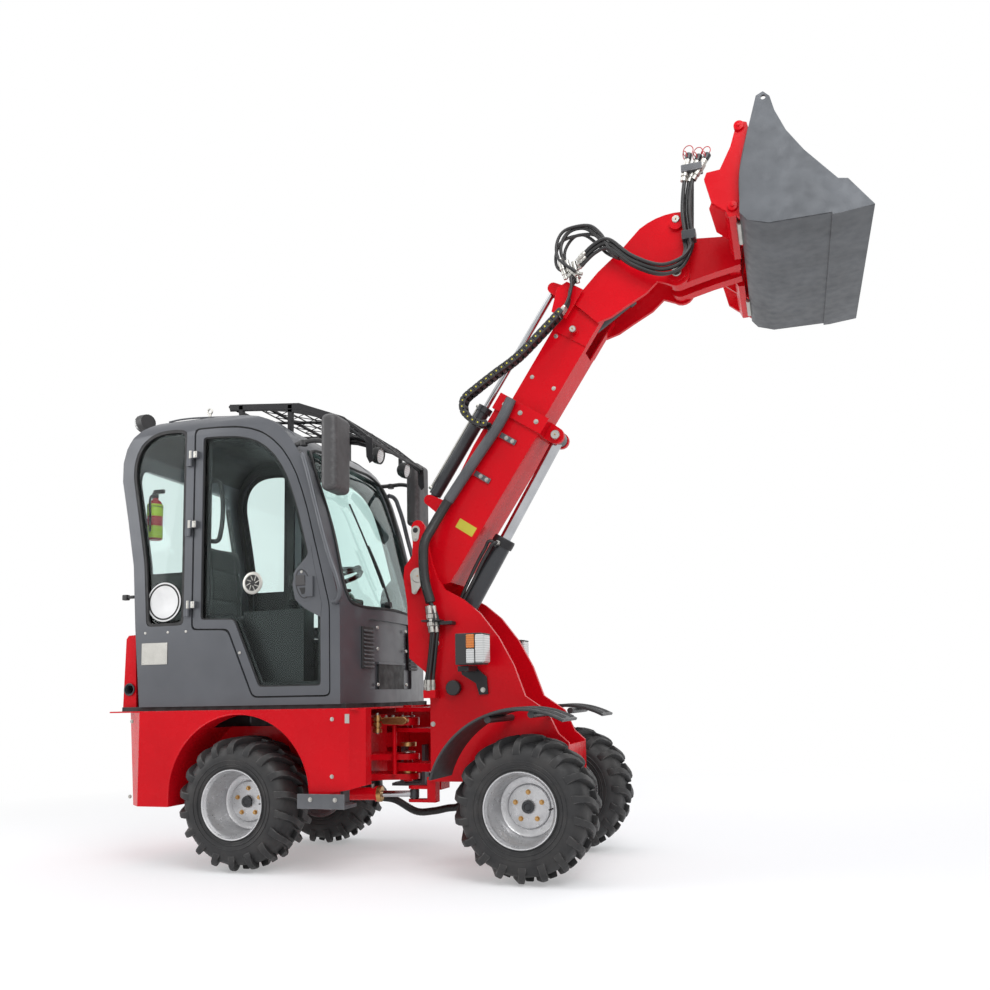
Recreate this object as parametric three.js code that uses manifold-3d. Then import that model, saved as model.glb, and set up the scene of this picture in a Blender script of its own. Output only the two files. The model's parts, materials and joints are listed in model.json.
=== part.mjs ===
// Compact articulated wheel loader with a telescopic boom, built as separate solids.
// Millimetres, +X forward, +Y to the machine's left, +Z up. Shapes are laid out from the
// ground point under the front axle; the last step moves the group to its box's bottom centre.
import * as THREE from "three";
import { mergeVertices } from "three/addons/utils/BufferGeometryUtils.js";
import Module from "manifold-3d";

const wasm = await Module();
wasm.setup();

// ---------------------------------------------------------------- driving dimensions
const FIT = 0.3;                 // gap between pieces that rest on each other
const PIN_GAP = 0.5;             // radial clearance of a pin in its bore
const SIDE_GAP = 4;              // clearance beside a rod eye

const WHEELBASE = 1472;
const TRACK_HALF = 433;          // wheel centre plane from the middle
const TYRE_R = 330;
const TYRE_HALF = 145;
const WHEEL_SIDES = 20;           // tyre and rim share their facets, so they seat without overlap
const RIM_SEAT_R = 155;
const RIM_FLANGE_R = 171;
const RIM_HALF = TYRE_HALF - 7;
const HUB_R = 75;
const HUB_INNER = 90;            // inboard face of the hub from the wheel's centre plane
const AXLE_TUBE_R = 52;

const RAIL_IN = 190;             // rear frame rails, inner face
const RAIL_T = 22;
const RAIL_Z = [400, 640];
const REAR_AXLE_X = -WHEELBASE;
const REAR_END = REAR_AXLE_X - 588;
const BODY_END = REAR_AXLE_X - 722;  // the body's rear face at the top
const RAIL_FRONT = -1000;

const STEER_X = -780;            // articulation axis
const STEER_PIN_R = 24;
const EAR_T = 14;
const ARM_HALF = 120;
const UPPER_ARM_Z = [690, 730];
const LOWER_ARMS_Z = [[410, 440], [512, 542]];
const YOKE_PLATES_Z = [[761, 783], [655, 676], [455, 497]];
const YOKE_HALF = 110;


const BODY_TOP = 790;
const BODY_BOTTOM = 311;
const BODY_SKIN = 10;
const ARCH_R = 400;
const ARCH = { x: REAR_AXLE_X + 22, z: 368 };
const ARCH_WALL_Y = TRACK_HALF - TYRE_HALF - 28;

const CAB_HALF = 520;
const BODY_HALF = CAB_HALF + 35;
const CAB_WALL = 35;
const CAB_FLOOR = 811;
const CAB_FLOOR_T = 35;
const DECK = CAB_FLOOR + CAB_FLOOR_T + FIT;  // what stands on the cab's floor starts here
const CAB_BULGE = 45;            // how far the middle of the front stands ahead of its corners
const ROOF_Z = 2355;
const ROOF_CORNER_R = 130;
const DOOR_GAP = 8;
const DOOR_HINGE = { x: -1770, y: CAB_HALF + 15 };
const DOOR_FACES = [CAB_HALF - 33, CAB_HALF - 3];
const PANE_Y = CAB_HALF - 20;        // inner face of the side panes
const DOOR_RAIL = 46;
const GLASS = 5;

const HOOD_HALF = CAB_HALF - 40;
const GUARD_HALF = CAB_HALF - 190;
const HOOD_SKIN = 12;
const HOOD_HINGE = { x: -2138, z: 1203 };

const ENGINE = { x: [-2020, -1620], half: 180, z: [480, 1090] };

const TOWER_IN = 163;
const TOWER_T = 24;
const FRAME_BOTTOM = 415;
const LIFT_PIVOT = { x: -627, z: 1453 };
const LIFT_BASE = { x: -545.7, z: 1107 };

const BOOM_ANGLE = THREE.MathUtils.degToRad(56.5);
const OUTER_HALF = 122;
const OUTER_LOW = -138;
const OUTER_HIGH = 140;
const OUTER_END = 1030;
const OUTER_WALL = 12;
const INNER_HALF = OUTER_HALF - OUTER_WALL - 12;
const INNER_LOW = -113;
const INNER_HIGH = 95;
const INNER_START = 650;
const INNER_END = 1660;
const LIFT_LUG = { s: 980, t: -205 };
const LIFT_LUG_T = 24;
const TILT_BASE = { s: 1480, t: -19 };
const HITCH_PIVOT = { x: 737, z: 2895 };
const HITCH_ARM = { r: 150, angle: THREE.MathUtils.degToRad(83.5) };
const HITCH_BOSS_R = 52;
const GOOSE_HALF = INNER_HALF + 27;
const GOOSE_T = 22;

const LIFT_BARREL = { pin: 20, r: 50, bore: 31, length: 636, rod: 30, rodLength: 630, eye: 36, half: 36 };
const TILT_BARREL = { pin: 16, r: 38, bore: 22, length: 340, rod: 21, rodLength: 350, eye: 30, half: 32 };
const STEER_BARREL = { pin: 12, r: 32, bore: 17, length: 285, rod: 16, rodLength: 290, eye: 24, half: 22 };
const SCOPE_BARREL = { pin: 10, r: 34, bore: 17, length: 574, rod: 16, rodLength: 860, eye: 24, half: 22 };
const SCOPE_Y = -40;
const SCOPE_BASE = { s: 360, t: 225 };
const SCOPE_END = { s: 1640, t: 225 };
const BOOM_HOSE_Y = -OUTER_HALF - 43;
const TOWER_HOSE_Y = -TOWER_IN - TOWER_T - 41;
const BOOM_HOSE_R = 16;
const HOSE_CLAMPS = [{ s: 604, t: 75 }, { s: 840, t: 60 }];
const STEER_BASE = { x: -1130, y: -215 };
const STEER_EYE = { x: -680, y: -150 };
const STEER_CYL_Z = 350;

const BUCKET_HALF = 615;
const BUCKET_T = 12;
const BUCKET_BACK = [[1064, 2897], [1072, 3080], [1122, 3290]];
const HITCH_HALF = 575;

// ---------------------------------------------------------------- finishes
const FINISH = {
  red: [0xb5121b, 0.35, 0.3], grey: [0x4a4e54, 0.4, 0.6], bucket: [0x55595e, 0.5, 0.6],
  black: [0x151515, 0.6, 0.1], tyre: [0x1c1c1c, 0.9, 0.0], rim: [0xa9abad, 0.4, 0.7],
  glass: [0x9fb5ad, 0.1, 0.0], chrome: [0xd8dadc, 0.1, 1.0], bronze: [0x9a7645, 0.4, 0.8],
  seat: [0x202020, 0.8, 0.0], engine: [0x3a3a3a, 0.7, 0.5],
};
const material = (name) => {
  const [color, roughness, metalness] = FINISH[name];
  return new THREE.MeshStandardMaterial({ color, roughness, metalness });
};

// ---------------------------------------------------------------- solids
const solid = (geometry) => {
  const bare = geometry.index ? geometry.toNonIndexed() : geometry.clone();
  for (const name of Object.keys(bare.attributes)) if (name !== "position") bare.deleteAttribute(name);
  const merged = mergeVertices(bare, 1e-3);
  return new wasm.Manifold(new wasm.Mesh({
    numProp: 3,
    vertProperties: new Float32Array(merged.attributes.position.array),
    triVerts: new Uint32Array(merged.index.array),
  }));
};
const join = (...parts) => parts.flat().reduce((all, part) => all.add(part));
const cut = (body, ...tools) => tools.flat().reduce((rest, tool) => rest.subtract(tool), body);

const geometryOf = (body) => {
  const mesh = body.asOriginal().simplify(0.02).getMesh();
  const geometry = new THREE.BufferGeometry();
  geometry.setAttribute("position", new THREE.BufferAttribute(new Float32Array(mesh.vertProperties), 3));
  geometry.setIndex(new THREE.BufferAttribute(new Uint32Array(mesh.triVerts), 1));
  geometry.computeVertexNormals();
  return geometry;
};

const outline = (points) => new THREE.Shape(points.map(([a, b]) => new THREE.Vector2(a, b)));
const ccw = (points) => (THREE.ShapeUtils.isClockWise(points.map(([a, b]) => new THREE.Vector2(a, b)))
  ? [...points].reverse() : points);
const extrude = (points, depth, steps = 1) =>
  new THREE.ExtrudeGeometry(outline(ccw(points)), { depth, steps, bevelEnabled: false });

/** A profile in the XZ plane, pulled along Y from y0 to y1. */
const sideGeometry = (points, y0, y1, steps) =>
  extrude(points, y1 - y0, steps).rotateX(Math.PI / 2).translate(0, y1, 0);
const sidePrism = (points, y0, y1) => solid(sideGeometry(points, y0, y1));
/** A profile in the XY plane, pulled up from z0 to z1. */
const planPrism = (points, z0, z1) => solid(extrude(points, z1 - z0).translate(0, 0, z0));
/** A profile in the YZ plane, pulled along X from x0 to x1. */
const frontPrism = (points, x0, x1) => {
  const turn = new THREE.Matrix4().makeBasis(
    new THREE.Vector3(0, 1, 0), new THREE.Vector3(0, 0, 1), new THREE.Vector3(1, 0, 0));
  return solid(extrude(points, x1 - x0).applyMatrix4(turn).translate(x0, 0, 0));
};
const block = (x0, x1, y0, y1, z0, z1) =>
  solid(new THREE.BoxGeometry(x1 - x0, y1 - y0, z1 - z0)
    .translate((x0 + x1) / 2, (y0 + y1) / 2, (z0 + z1) / 2));
const barY = (x, z, r, y0, y1, facets = 16) =>
  solid(new THREE.CylinderGeometry(r, r, y1 - y0, facets).translate(x, (y0 + y1) / 2, z));
const barZ = (x, y, r, z0, z1, facets = 16) =>
  solid(new THREE.CylinderGeometry(r, r, z1 - z0, facets).rotateX(Math.PI / 2)
    .translate(x, y, (z0 + z1) / 2));
const bar = (a, b, r, facets = 12) => {
  const from = new THREE.Vector3(...a);
  const to = new THREE.Vector3(...b);
  const turn = new THREE.Quaternion().setFromUnitVectors(
    new THREE.Vector3(0, 1, 0), to.clone().sub(from).normalize());
  const middle = from.clone().add(to).multiplyScalar(0.5);
  return solid(new THREE.CylinderGeometry(r, r, from.distanceTo(to), facets)
    .applyQuaternion(turn).translate(middle.x, middle.y, middle.z));
};
const roundBox = (y0, y1, z0, z1, r, steps = 4) => roundedLoop(
  [[y0, z0], [y1, z0], [y1, z1], [y0, z1]], r, steps);

/** Rounds every corner of a closed outline with arcs of radius r. */
function roundedLoop(points, r, steps = 4) {
  const loop = [];
  const count = points.length;
  for (let i = 0; i < count; i += 1) {
    const here = new THREE.Vector2(...points[i]);
    const before = new THREE.Vector2(...points[(i + count - 1) % count]).sub(here);
    const after = new THREE.Vector2(...points[(i + 1) % count]).sub(here);
    const reach = Math.min(r, before.length() * 0.45, after.length() * 0.45);
    const a = here.clone().add(before.setLength(reach));
    const b = here.clone().add(after.setLength(reach));
    for (let k = 0; k <= steps; k += 1) {
      const u = k / steps;
      loop.push([
        a.x * (1 - u) ** 2 + 2 * here.x * u * (1 - u) + b.x * u ** 2,
        a.y * (1 - u) ** 2 + 2 * here.y * u * (1 - u) + b.y * u ** 2]);
    }
  }
  return loop;
}
/** Moves every side of a closed outline inwards by d (outwards when d is negative). */
function inset(points, d) {
  const loop = ccw(points).map(([a, b]) => new THREE.Vector2(a, b));
  const count = loop.length;
  return loop.map((here, i) => {
    const one = here.clone().sub(loop[(i + count - 1) % count]).normalize();
    const two = loop[(i + 1) % count].clone().sub(here).normalize();
    const n1 = new THREE.Vector2(-one.y, one.x);
    const n2 = new THREE.Vector2(-two.y, two.x);
    const sum = n1.clone().add(n2);
    const move = sum.multiplyScalar(d / Math.max(0.25, 1 + n1.dot(n2)));
    return [here.x + move.x, here.y + move.y];
  });
}
const arc = (x, z, r, from, to, steps) => Array.from({ length: steps + 1 }, (_, i) => {
  const angle = THREE.MathUtils.degToRad(from + ((to - from) * i) / steps);
  return [x + r * Math.cos(angle), z + r * Math.sin(angle)];
});
const mirrored = (body) => body.mirror([0, 1, 0]);
const sides = (body) => [body, mirrored(body)];

/** A tube along a smooth curve through points. */
const tube = (points, r, steps, around = 8) => {
  const curve = new THREE.CatmullRomCurve3(points.map((p) => new THREE.Vector3(...p)));
  const section = new THREE.Shape(arc(0, 0, r, 0, 360 - 360 / around, around - 1)
    .map(([a, b]) => new THREE.Vector2(a, b)));
  return new THREE.ExtrudeGeometry(section, { steps, bevelEnabled: false, extrudePath: curve });
};

/** World place of a point given along (s) and above (t) the boom's line through its pivot. */
const onBoom = ({ s, t }) => ({
  x: LIFT_PIVOT.x + s * Math.cos(BOOM_ANGLE) - t * Math.sin(BOOM_ANGLE),
  z: LIFT_PIVOT.z + s * Math.sin(BOOM_ANGLE) + t * Math.cos(BOOM_ANGLE),
});
const boomLoop = (points) => points.map(([s, t]) => {
  const p = onBoom({ s, t });
  return [p.x, p.z];
});

const model = new THREE.Group();
const add = (name, body, finish) => {
  const mesh = new THREE.Mesh(body.isBufferGeometry ? body : geometryOf(body), material(finish));
  mesh.name = name;
  model.add(mesh);
  return mesh;
};

// ---------------------------------------------------------------- wheels and axles
const turned = (profile, segments) =>
  new THREE.LatheGeometry(profile.map(([r, w]) => new THREE.Vector2(r, w)), segments);

function tyreShape() {
  const bead = RIM_SEAT_R + 0.5;
  const lip = RIM_HALF - 11.5;
  const half = [[bead, lip], [RIM_FLANGE_R + 1, lip], [240, TYRE_HALF],
    [298, 139], [TYRE_R, 112]];
  const other = [...half].reverse().map(([r, w]) => [r, -w]);
  return turned([...half, ...other, half[0]].reverse(), WHEEL_SIDES);
}
function rimShape() {
  const seat = RIM_HALF - 10;
  return turned([
    [0, -HUB_INNER], [HUB_R, -HUB_INNER], [HUB_R, -58], [140, -58], [146, -seat],
    [160, -RIM_HALF], [RIM_FLANGE_R, -RIM_HALF], [RIM_FLANGE_R, -RIM_HALF + 8], [RIM_SEAT_R, -seat],
    [RIM_SEAT_R, seat], [RIM_FLANGE_R, RIM_HALF - 8], [RIM_FLANGE_R, RIM_HALF], [160, RIM_HALF],
    [146, seat], [140, -46], [95, -46], [46, -22], [44, -4], [0, -4]], WHEEL_SIDES);
}
function addWheel(name, x, side) {
  const wheel = new THREE.Group();
  wheel.position.set(x, side * TRACK_HALF, TYRE_R);
  if (side < 0) wheel.rotation.z = Math.PI;
  for (const [piece, geometry, finish] of [["tyre", tyreShape(), "tyre"], ["rim", rimShape(), "rim"]]) {
    const mesh = new THREE.Mesh(geometry, material(finish));
    mesh.name = `${name}_${piece}`;
    wheel.add(mesh);
  }
  model.add(wheel);
}
for (const [end, x] of [["front", 0], ["rear", -WHEELBASE]]) {
  addWheel(`${end}_left`, x, 1);
  addWheel(`${end}_right`, x, -1);
}

function axleShape(x, top, padY) {
  const end = TRACK_HALF - HUB_INNER - FIT;
  const half = [[0, end], [62, end], [70, end - 12], [70, 262], [AXLE_TUBE_R, 245],
    [AXLE_TUBE_R, 110], [80, 60]];
  const other = [...half].reverse().map(([r, w]) => [r, -w]);
  const tubeBody = solid(turned([...half, ...other].reverse(), 16)).translate([x, 0, TYRE_R]);
  const pad = block(x - 55, x + 55, padY[0], padY[1], TYRE_R, top - FIT);
  return join(tubeBody, sides(pad));
}
add("rear_axle", axleShape(-WHEELBASE, RAIL_Z[0], [RAIL_IN, RAIL_IN + RAIL_T]), "black");
add("front_axle", axleShape(0, FRAME_BOTTOM, [TOWER_IN - 30, TOWER_IN + TOWER_T]), "black");

// ---------------------------------------------------------------- rear frame
/** A flat arm that ends round on the articulation axis; root is its far end. */
const pivotArm = (root, half, r, z) => {
  const away = root < STEER_X ? 90 : -90;
  const nose = arc(STEER_X, 0, r, away, away - 180, 10);
  const side = Math.sign(nose[0][1]);
  return planPrism([[root, side * half], ...nose, [root, -side * half]], z[0], z[1]);
};
/** Heights of the two ears on either side of the steering cylinder's eyes. */
const steerEars = () => {
  const reach = STEER_BARREL.half + SIDE_GAP;
  const low = STEER_CYL_Z - reach;
  const high = STEER_CYL_Z + reach;
  return [[low - EAR_T, low], [high, high + EAR_T]];
};
function rearFrame() {
  const rail = block(REAR_END, RAIL_FRONT, RAIL_IN, RAIL_IN + RAIL_T, RAIL_Z[0], RAIL_Z[1]);
  const wide = RAIL_IN + 2;
  const front = block(RAIL_FRONT - 22, RAIL_FRONT, -RAIL_IN - RAIL_T, RAIL_IN + RAIL_T, RAIL_Z[0], 745);
  const rear = block(REAR_END, REAR_END + 20, -RAIL_IN - RAIL_T, RAIL_IN + RAIL_T, RAIL_Z[0], RAIL_Z[1]);
  const seats = [ENGINE.x[0] + 60, ENGINE.x[1] - 60].map((x) =>
    block(x - 30, x + 30, -wide, wide, ENGINE.z[0] - 30, ENGINE.z[0] - FIT));
  const arms = [UPPER_ARM_Z, ...LOWER_ARMS_Z].map((z) => pivotArm(RAIL_FRONT - 5, ARM_HALF, 62, z));
  const bore = barZ(STEER_X, 0, STEER_PIN_R + PIN_GAP, 300, 820);
  const tow = block(REAR_END - 90, REAR_END + 5, -70, 70, 420, 560);
  const outrig = [REAR_END + 110, RAIL_FRONT + 20].map((x) => {
    const reach = BODY_HALF - BODY_SKIN - FIT;
    return block(x - 45, x - 25, RAIL_IN + 5, reach, 560, 640);
  });
  const ears = steerEars().map(([z0, z1]) => planPrism(
    [[-1200, -RAIL_IN], ...arc(STEER_BASE.x, STEER_BASE.y, 30, 200, 330, 6), [-1106, -RAIL_IN]], z0, z1));
  const web = block(-1200, -1160, -RAIL_IN - RAIL_T, -RAIL_IN, steerEars()[0][0], RAIL_Z[0] + 5);
  const basePin = barZ(STEER_BASE.x, STEER_BASE.y, STEER_BARREL.pin, steerEars()[0][0], steerEars()[1][1]);
  const frame = join(sides(rail), front, rear, seats, arms, tow, outrig.flatMap(sides), ears, web, basePin);
  return cut(frame, bore);
}
add("rear_frame", rearFrame(), "red");

function rearBody() {
  const half = [[BODY_END - 56, BODY_HALF - 125], [BODY_END, BODY_HALF - 125], [BODY_END + 159, BODY_HALF],
    [-842, BODY_HALF], [STEER_X, BODY_HALF - 55]];
  const plan = [...half.map(([x, y]) => [x, -y]), ...[...half].reverse()];
  const profile = [[BODY_END, BODY_TOP], [BODY_END + 89, BODY_BOTTOM], [BODY_END + 356, BODY_BOTTOM],
    [-1046, 375],
    [-842, 408], [STEER_X, 426], [STEER_X, BODY_TOP]];
  const outer = planPrism(plan, 200, 900).intersect(sidePrism(profile, -700, 700));
  const inside = inset(profile, BODY_SKIN).map(([x, z]) => [x, z < 600 ? z - 60 : z]);
  const hollow = planPrism(inset(plan, BODY_SKIN), 100, 900).intersect(sidePrism(inside, -700, 700));
  const well = (r, y) => join(
    barY(ARCH.x, ARCH.z, r, y, 700, 40), block(ARCH.x - r, ARCH.x + r, y, 700, 100, ARCH.z));
  const liner = outer.intersect(join(sides(well(ARCH_R + 8, ARCH_WALL_Y))));
  const axleWay = block(ARCH.x - 150, ARCH.x + 150, -500, 500, 200, 470);
  const wayHalf = BODY_HALF - 115;
  const deck = block(BODY_END + 104, -960, -wayHalf, wayHalf, 700, 900);
  const frontWay = block(STEER_X - 90, STEER_X + 60, -wayHalf, wayHalf, 300, 900);
  const rearWay = block(BODY_END + 14, REAR_END + 10, -90, 90, 300, 580);
  return cut(join(cut(outer, hollow), liner), sides(well(ARCH_R, ARCH_WALL_Y + 8)),
    axleWay, deck, frontWay, rearWay);
}
add("rear_body", rearBody(), "red");

add("engine_block", block(ENGINE.x[0], ENGINE.x[1], -ENGINE.half, ENGINE.half, ...ENGINE.z), "engine");

function engineHood() {
  const outer = sidePrism([[-2202, 800], [-2191, 1172], [-2176, 1190], [-2132, 1192], [-2118, 800]],
    -HOOD_HALF, HOOD_HALF);
  const inner = sidePrism([[-2190, 812], [-2179, 1168], [-2170, 1178], [-2020, 1178], [-2020, 812]],
    -HOOD_HALF + HOOD_SKIN, HOOD_HALF - HOOD_SKIN);
  const pipe = barY(-2160, 905, 30, -600, 0, 16);
  const knuckle = join(barY(HOOD_HINGE.x, HOOD_HINGE.z, 9, 250, 330, 12),
    block(HOOD_HINGE.x - 8, HOOD_HINGE.x + 8, 250, 330, 1184, HOOD_HINGE.z));
  return join(cut(outer, inner, pipe), sides(knuckle));
}
add("engine_hood", engineHood(), "red");

function step(side) {
  const y = [BODY_HALF - 85, BODY_HALF + 45];
  const outer = block(-1090, -842, ...y, 323, 340);
  const lip = block(-1090, -842, y[1] - 12, y[1], 323, 392);
  const hangers = [-1030, -900].map((x) => block(x, x + 20, y[0], BODY_HALF - 25, 323, 560));
  const body = join(outer, lip, hangers);
  return side > 0 ? body : mirrored(body);
}
add("step_left", step(1), "grey");
add("step_right", step(-1), "grey");

// ---------------------------------------------------------------- cab
const CAB_SIDE = [
  [-2068, CAB_FLOOR], [-2104, 1222], [-2124, 1556], [-2167, 1807], [-2208, 2020], [-2207, 2121],
  [-2186, 2194], [-2151, 2251], [-2105, 2298], [-2045, 2332], [-1980, 2350], [-1909, ROOF_Z],
  [-1718, 2346], [-1485, 2321], [-1393, 2301], [-1322, 2272], [-1258, 2232], [-1210, 2186],
  [-1169, 2130], [-1130, 2063], [-1098, 1989], [-1037, 1798], [-968, 1524], [-909, 1294],
  [-905, CAB_FLOOR]];
const DOOR_OPENING = [
  [-1760, 1200], [-1545, 1192], [-1395, 848], [-958, 848], [-962, 1294], [-1020, 1524],
  [-1088, 1790], [-1118, 1885], [-1150, 1972], [-1190, 2048], [-1236, 2114], [-1292, 2168],
  [-1350, 2208], [-1420, 2236], [-1500, 2254], [-1620, 2264], [-1760, 2268]];
const QUARTER_OPENING = [
  [-2036, 1228], [-1806, 1228], [-1806, 2262], [-1900, 2272], [-1975, 2268], [-2035, 2250],
  [-2085, 2215], [-2118, 2165], [-2136, 2105], [-2138, 2030], [-2098, 1810], [-2056, 1560]];

/** Pushes the middle of the front face ahead of its two corners. */
const bulged = (geometry) => {
  const place = geometry.attributes.position;
  for (let i = 0; i < place.count; i += 1) {
    const ahead = THREE.MathUtils.smoothstep(place.getX(i), -1300, -1000);
    const across = 1 - (place.getY(i) / CAB_HALF) ** 2;
    place.setX(i, place.getX(i) + CAB_BULGE * ahead * Math.max(0, across));
  }
  return geometry;
};
const cabSection = (d) => frontPrism([
  [-CAB_HALF + d, 500], [CAB_HALF - d, 500],
  ...arc(CAB_HALF - ROOF_CORNER_R, ROOF_Z - ROOF_CORNER_R, ROOF_CORNER_R - d, 0, 90, 6),
  ...arc(-CAB_HALF + ROOF_CORNER_R, ROOF_Z - ROOF_CORNER_R, ROOF_CORNER_R - d, 90, 180, 6)],
  -2400, -600);
const cabLayer = (d) => solid(bulged(sideGeometry(inset(CAB_SIDE, d), -CAB_HALF + d, CAB_HALF - d, 6)))
  .intersect(cabSection(d));
const windscreenCut = (gap) =>
  frontPrism(roundBox(-CAB_HALF + 80 + gap, CAB_HALF - 80 - gap, 1300 + gap, 2120 - gap, 60), -1290, -780);
const frontPanelCut = (gap) =>
  frontPrism(roundBox(-CAB_HALF + 250 + gap, CAB_HALF - 250 - gap, 880 + gap, 1240 - gap, 20), -1000, -780);
const rearWindowCut = (gap) =>
  frontPrism(roundBox(-CAB_HALF + 110 + gap, CAB_HALF - 110 - gap, 1262 + gap, 2110 - gap, 70), -2300, -1990);
const roundSide = (points, gap, r) => roundedLoop(inset(points, gap), r, 3);

function cabShell() {
  const doorWay = sidePrism(roundSide(DOOR_OPENING, 0, 30), CAB_HALF - CAB_WALL - 5, CAB_HALF + 20);
  const quarter = sidePrism(roundSide(QUARTER_OPENING, 0, 30), CAB_HALF - CAB_WALL - 5, CAB_HALF + 20);
  const engineWay = block(-2150, -1560, -260, 260, 700, 1150);
  const mounts = [[-2000, CAB_HALF - 40], [-990, CAB_HALF - 60]].map(([x, y]) =>
    barZ(x, y, 26, BODY_TOP + FIT, CAB_FLOOR + 10, 12));
  const hinges = [1330, 1750, 2120].flatMap((z) => sides(join(
    barZ(DOOR_HINGE.x, DOOR_HINGE.y, 8, z - 60, z - 20, 10),
    block(DOOR_HINGE.x - 24, DOOR_HINGE.x, CAB_HALF - 4, DOOR_HINGE.y + 4, z - 58, z - 22))));
  const hoodBar = join(barY(HOOD_HINGE.x, HOOD_HINGE.z, 9, -249.5, 249.5, 12),
    sides(block(HOOD_HINGE.x, -2060, 180, 240, HOOD_HINGE.z - 5, HOOD_HINGE.z + 5)));
  const room = cabLayer(CAB_WALL).subtract(block(-2400, -600, -900, 900, 0, CAB_FLOOR + CAB_FLOOR_T));
  const shell = cut(cabLayer(0), room,
    sides(doorWay), sides(quarter), windscreenCut(0), frontPanelCut(0), rearWindowCut(0), engineWay);
  return join(shell, mounts.flatMap(sides), hinges, hoodBar);
}
add("cab_shell", cabShell(), "grey");

const pane = (cutter) => cabLayer(14).subtract(cabLayer(14 + GLASS)).intersect(cutter);
add("windscreen", pane(windscreenCut(FIT)), "glass");
add("rear_window", pane(rearWindowCut(FIT)), "glass");
add("front_panel", pane(frontPanelCut(FIT)), "black");

function addDoor(name, place) {
  const skin = roundSide(DOOR_OPENING, DOOR_GAP, 26);
  const window = roundSide(DOOR_OPENING, DOOR_GAP + DOOR_RAIL, 20);
  const frame = cut(sidePrism(skin, ...DOOR_FACES).intersect(cabSection(3)),
    sidePrism(window, DOOR_FACES[0] - 5, DOOR_FACES[1] + 5));
  const knuckles = [1330, 1750, 2120].map((z) => join(
    barZ(DOOR_HINGE.x, DOOR_HINGE.y, 8, z - 20 + FIT, z + 20, 10),
    block(DOOR_HINGE.x, DOOR_HINGE.x + 44, CAB_HALF + 2, DOOR_HINGE.y + 5, z - 18, z + 18),
    block(DOOR_HINGE.x + 22, DOOR_HINGE.x + 44, DOOR_FACES[1] - 3, DOOR_HINGE.y + 5, z - 18, z + 18)));
  const handle = block(-1092, -1052, DOOR_FACES[1] - 2, DOOR_FACES[1] + 14, 1340, 1440);
  const glass = sidePrism(inset(window, FIT), PANE_Y, PANE_Y + GLASS);
  const whole = join(frame, knuckles, handle);
  add(`door_${name}`, place(whole), "grey");
  add(`door_glass_${name}`, place(glass), "glass");
}
addDoor("left", (body) => body);
addDoor("right", mirrored);

const quarterGlass = sidePrism(roundSide(QUARTER_OPENING, FIT, 30), PANE_Y, PANE_Y + GLASS);
add("quarter_glass_left", quarterGlass, "glass");
add("quarter_glass_right", mirrored(quarterGlass), "glass");

function engineCover() {
  const outer = block(-2030, -1530, -300, 300, DECK, 1130);
  return cut(outer, block(-2060, -1545, -285, 285, 800, 1115));
}
add("engine_cover", engineCover(), "black");

const SEAT_Z = 1130 + FIT;
function seatBase() {
  return join(block(-1900, -1560, -190, 190, SEAT_Z, SEAT_Z + 60));
}
add("seat_base", seatBase(), "black");
add("seat_cushion", sidePrism(roundedLoop(
  [[-1930, SEAT_Z + 60.3], [-1520, SEAT_Z + 60.3], [-1500, SEAT_Z + 165], [-1930, SEAT_Z + 145]], 30),
  -235, 235), "seat");
add("seat_back", sidePrism(roundedLoop(
  [[-1985, SEAT_Z + 65], [-1930.4, SEAT_Z + 65], [-1930.4, SEAT_Z + 170], [-1925, SEAT_Z + 360],
    [-1960, SEAT_Z + 620], [-2050, SEAT_Z + 640], [-2070, SEAT_Z + 600], [-2030, SEAT_Z + 300]], 25),
  -215, 215), "seat");

function steeringColumn() {
  const foot = [-1090, 0, DECK + 40];
  const top = [-1235, 0, 1500];
  const axis = new THREE.Vector3(...top).sub(new THREE.Vector3(...foot)).normalize();
  const wheel = new THREE.TorusGeometry(165, 14, 6, 16);
  wheel.applyQuaternion(new THREE.Quaternion().setFromUnitVectors(new THREE.Vector3(0, 0, 1), axis));
  wheel.translate(...top);
  const spokes = [0, 1].map((k) => {
    const reach = new THREE.Vector3(0, 1, 0).applyAxisAngle(axis, k * Math.PI / 2).multiplyScalar(165);
    const a = new THREE.Vector3(...top).add(reach);
    const b = new THREE.Vector3(...top).sub(reach);
    return bar(a.toArray(), b.toArray(), 9, 8);
  });
  const tip = new THREE.Vector3(...top).addScaledVector(axis, 20).toArray();
  return join(block(-1140, -1040, -70, 70, DECK, DECK + 90), bar(foot, tip, 30, 12),
    solid(wheel), spokes);
}
add("steering_column", steeringColumn(), "black");

function sideConsole() {
  const y = -CAB_HALF + 130;
  return join(block(-1500, -1150, y - 50, y + 50, DECK, 1290), barZ(-1240, y, 12, 1285, 1420, 10),
    barZ(-1240, y, 26, 1410, 1470, 12));
}
add("side_console", sideConsole(), "black");

// ---------------------------------------------------------------- fittings on the cab
function roofGuard() {
  const top = [[-1671, 2432], [-1245, 2392], [-985, 2290], [-830, 2160]];
  const bars = [];
  for (let k = 0; k < top.length - 1; k += 1) {
    for (const y of [-GUARD_HALF, 0, GUARD_HALF]) {
      bars.push(bar([top[k][0], y, top[k][1]], [top[k + 1][0], y, top[k + 1][1]], 9, 4));
    }
  }
  for (const [x, z] of [...top, [-1458, 2412], [-1115, 2341]]) {
    bars.push(bar([x, -GUARD_HALF - 7, z - 4], [x, GUARD_HALF + 7, z - 4], 10, 6));
  }
  const feet = [[-1600, 2425], [-1300, 2397]].map(([x, high]) =>
    block(x - 12, x + 12, GUARD_HALF - 12, GUARD_HALF + 12, 2200, high));
  return cut(join(bars, feet.flatMap(sides)), cabLayer(-FIT));
}
add("roof_guard", roofGuard(), "black");

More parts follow.
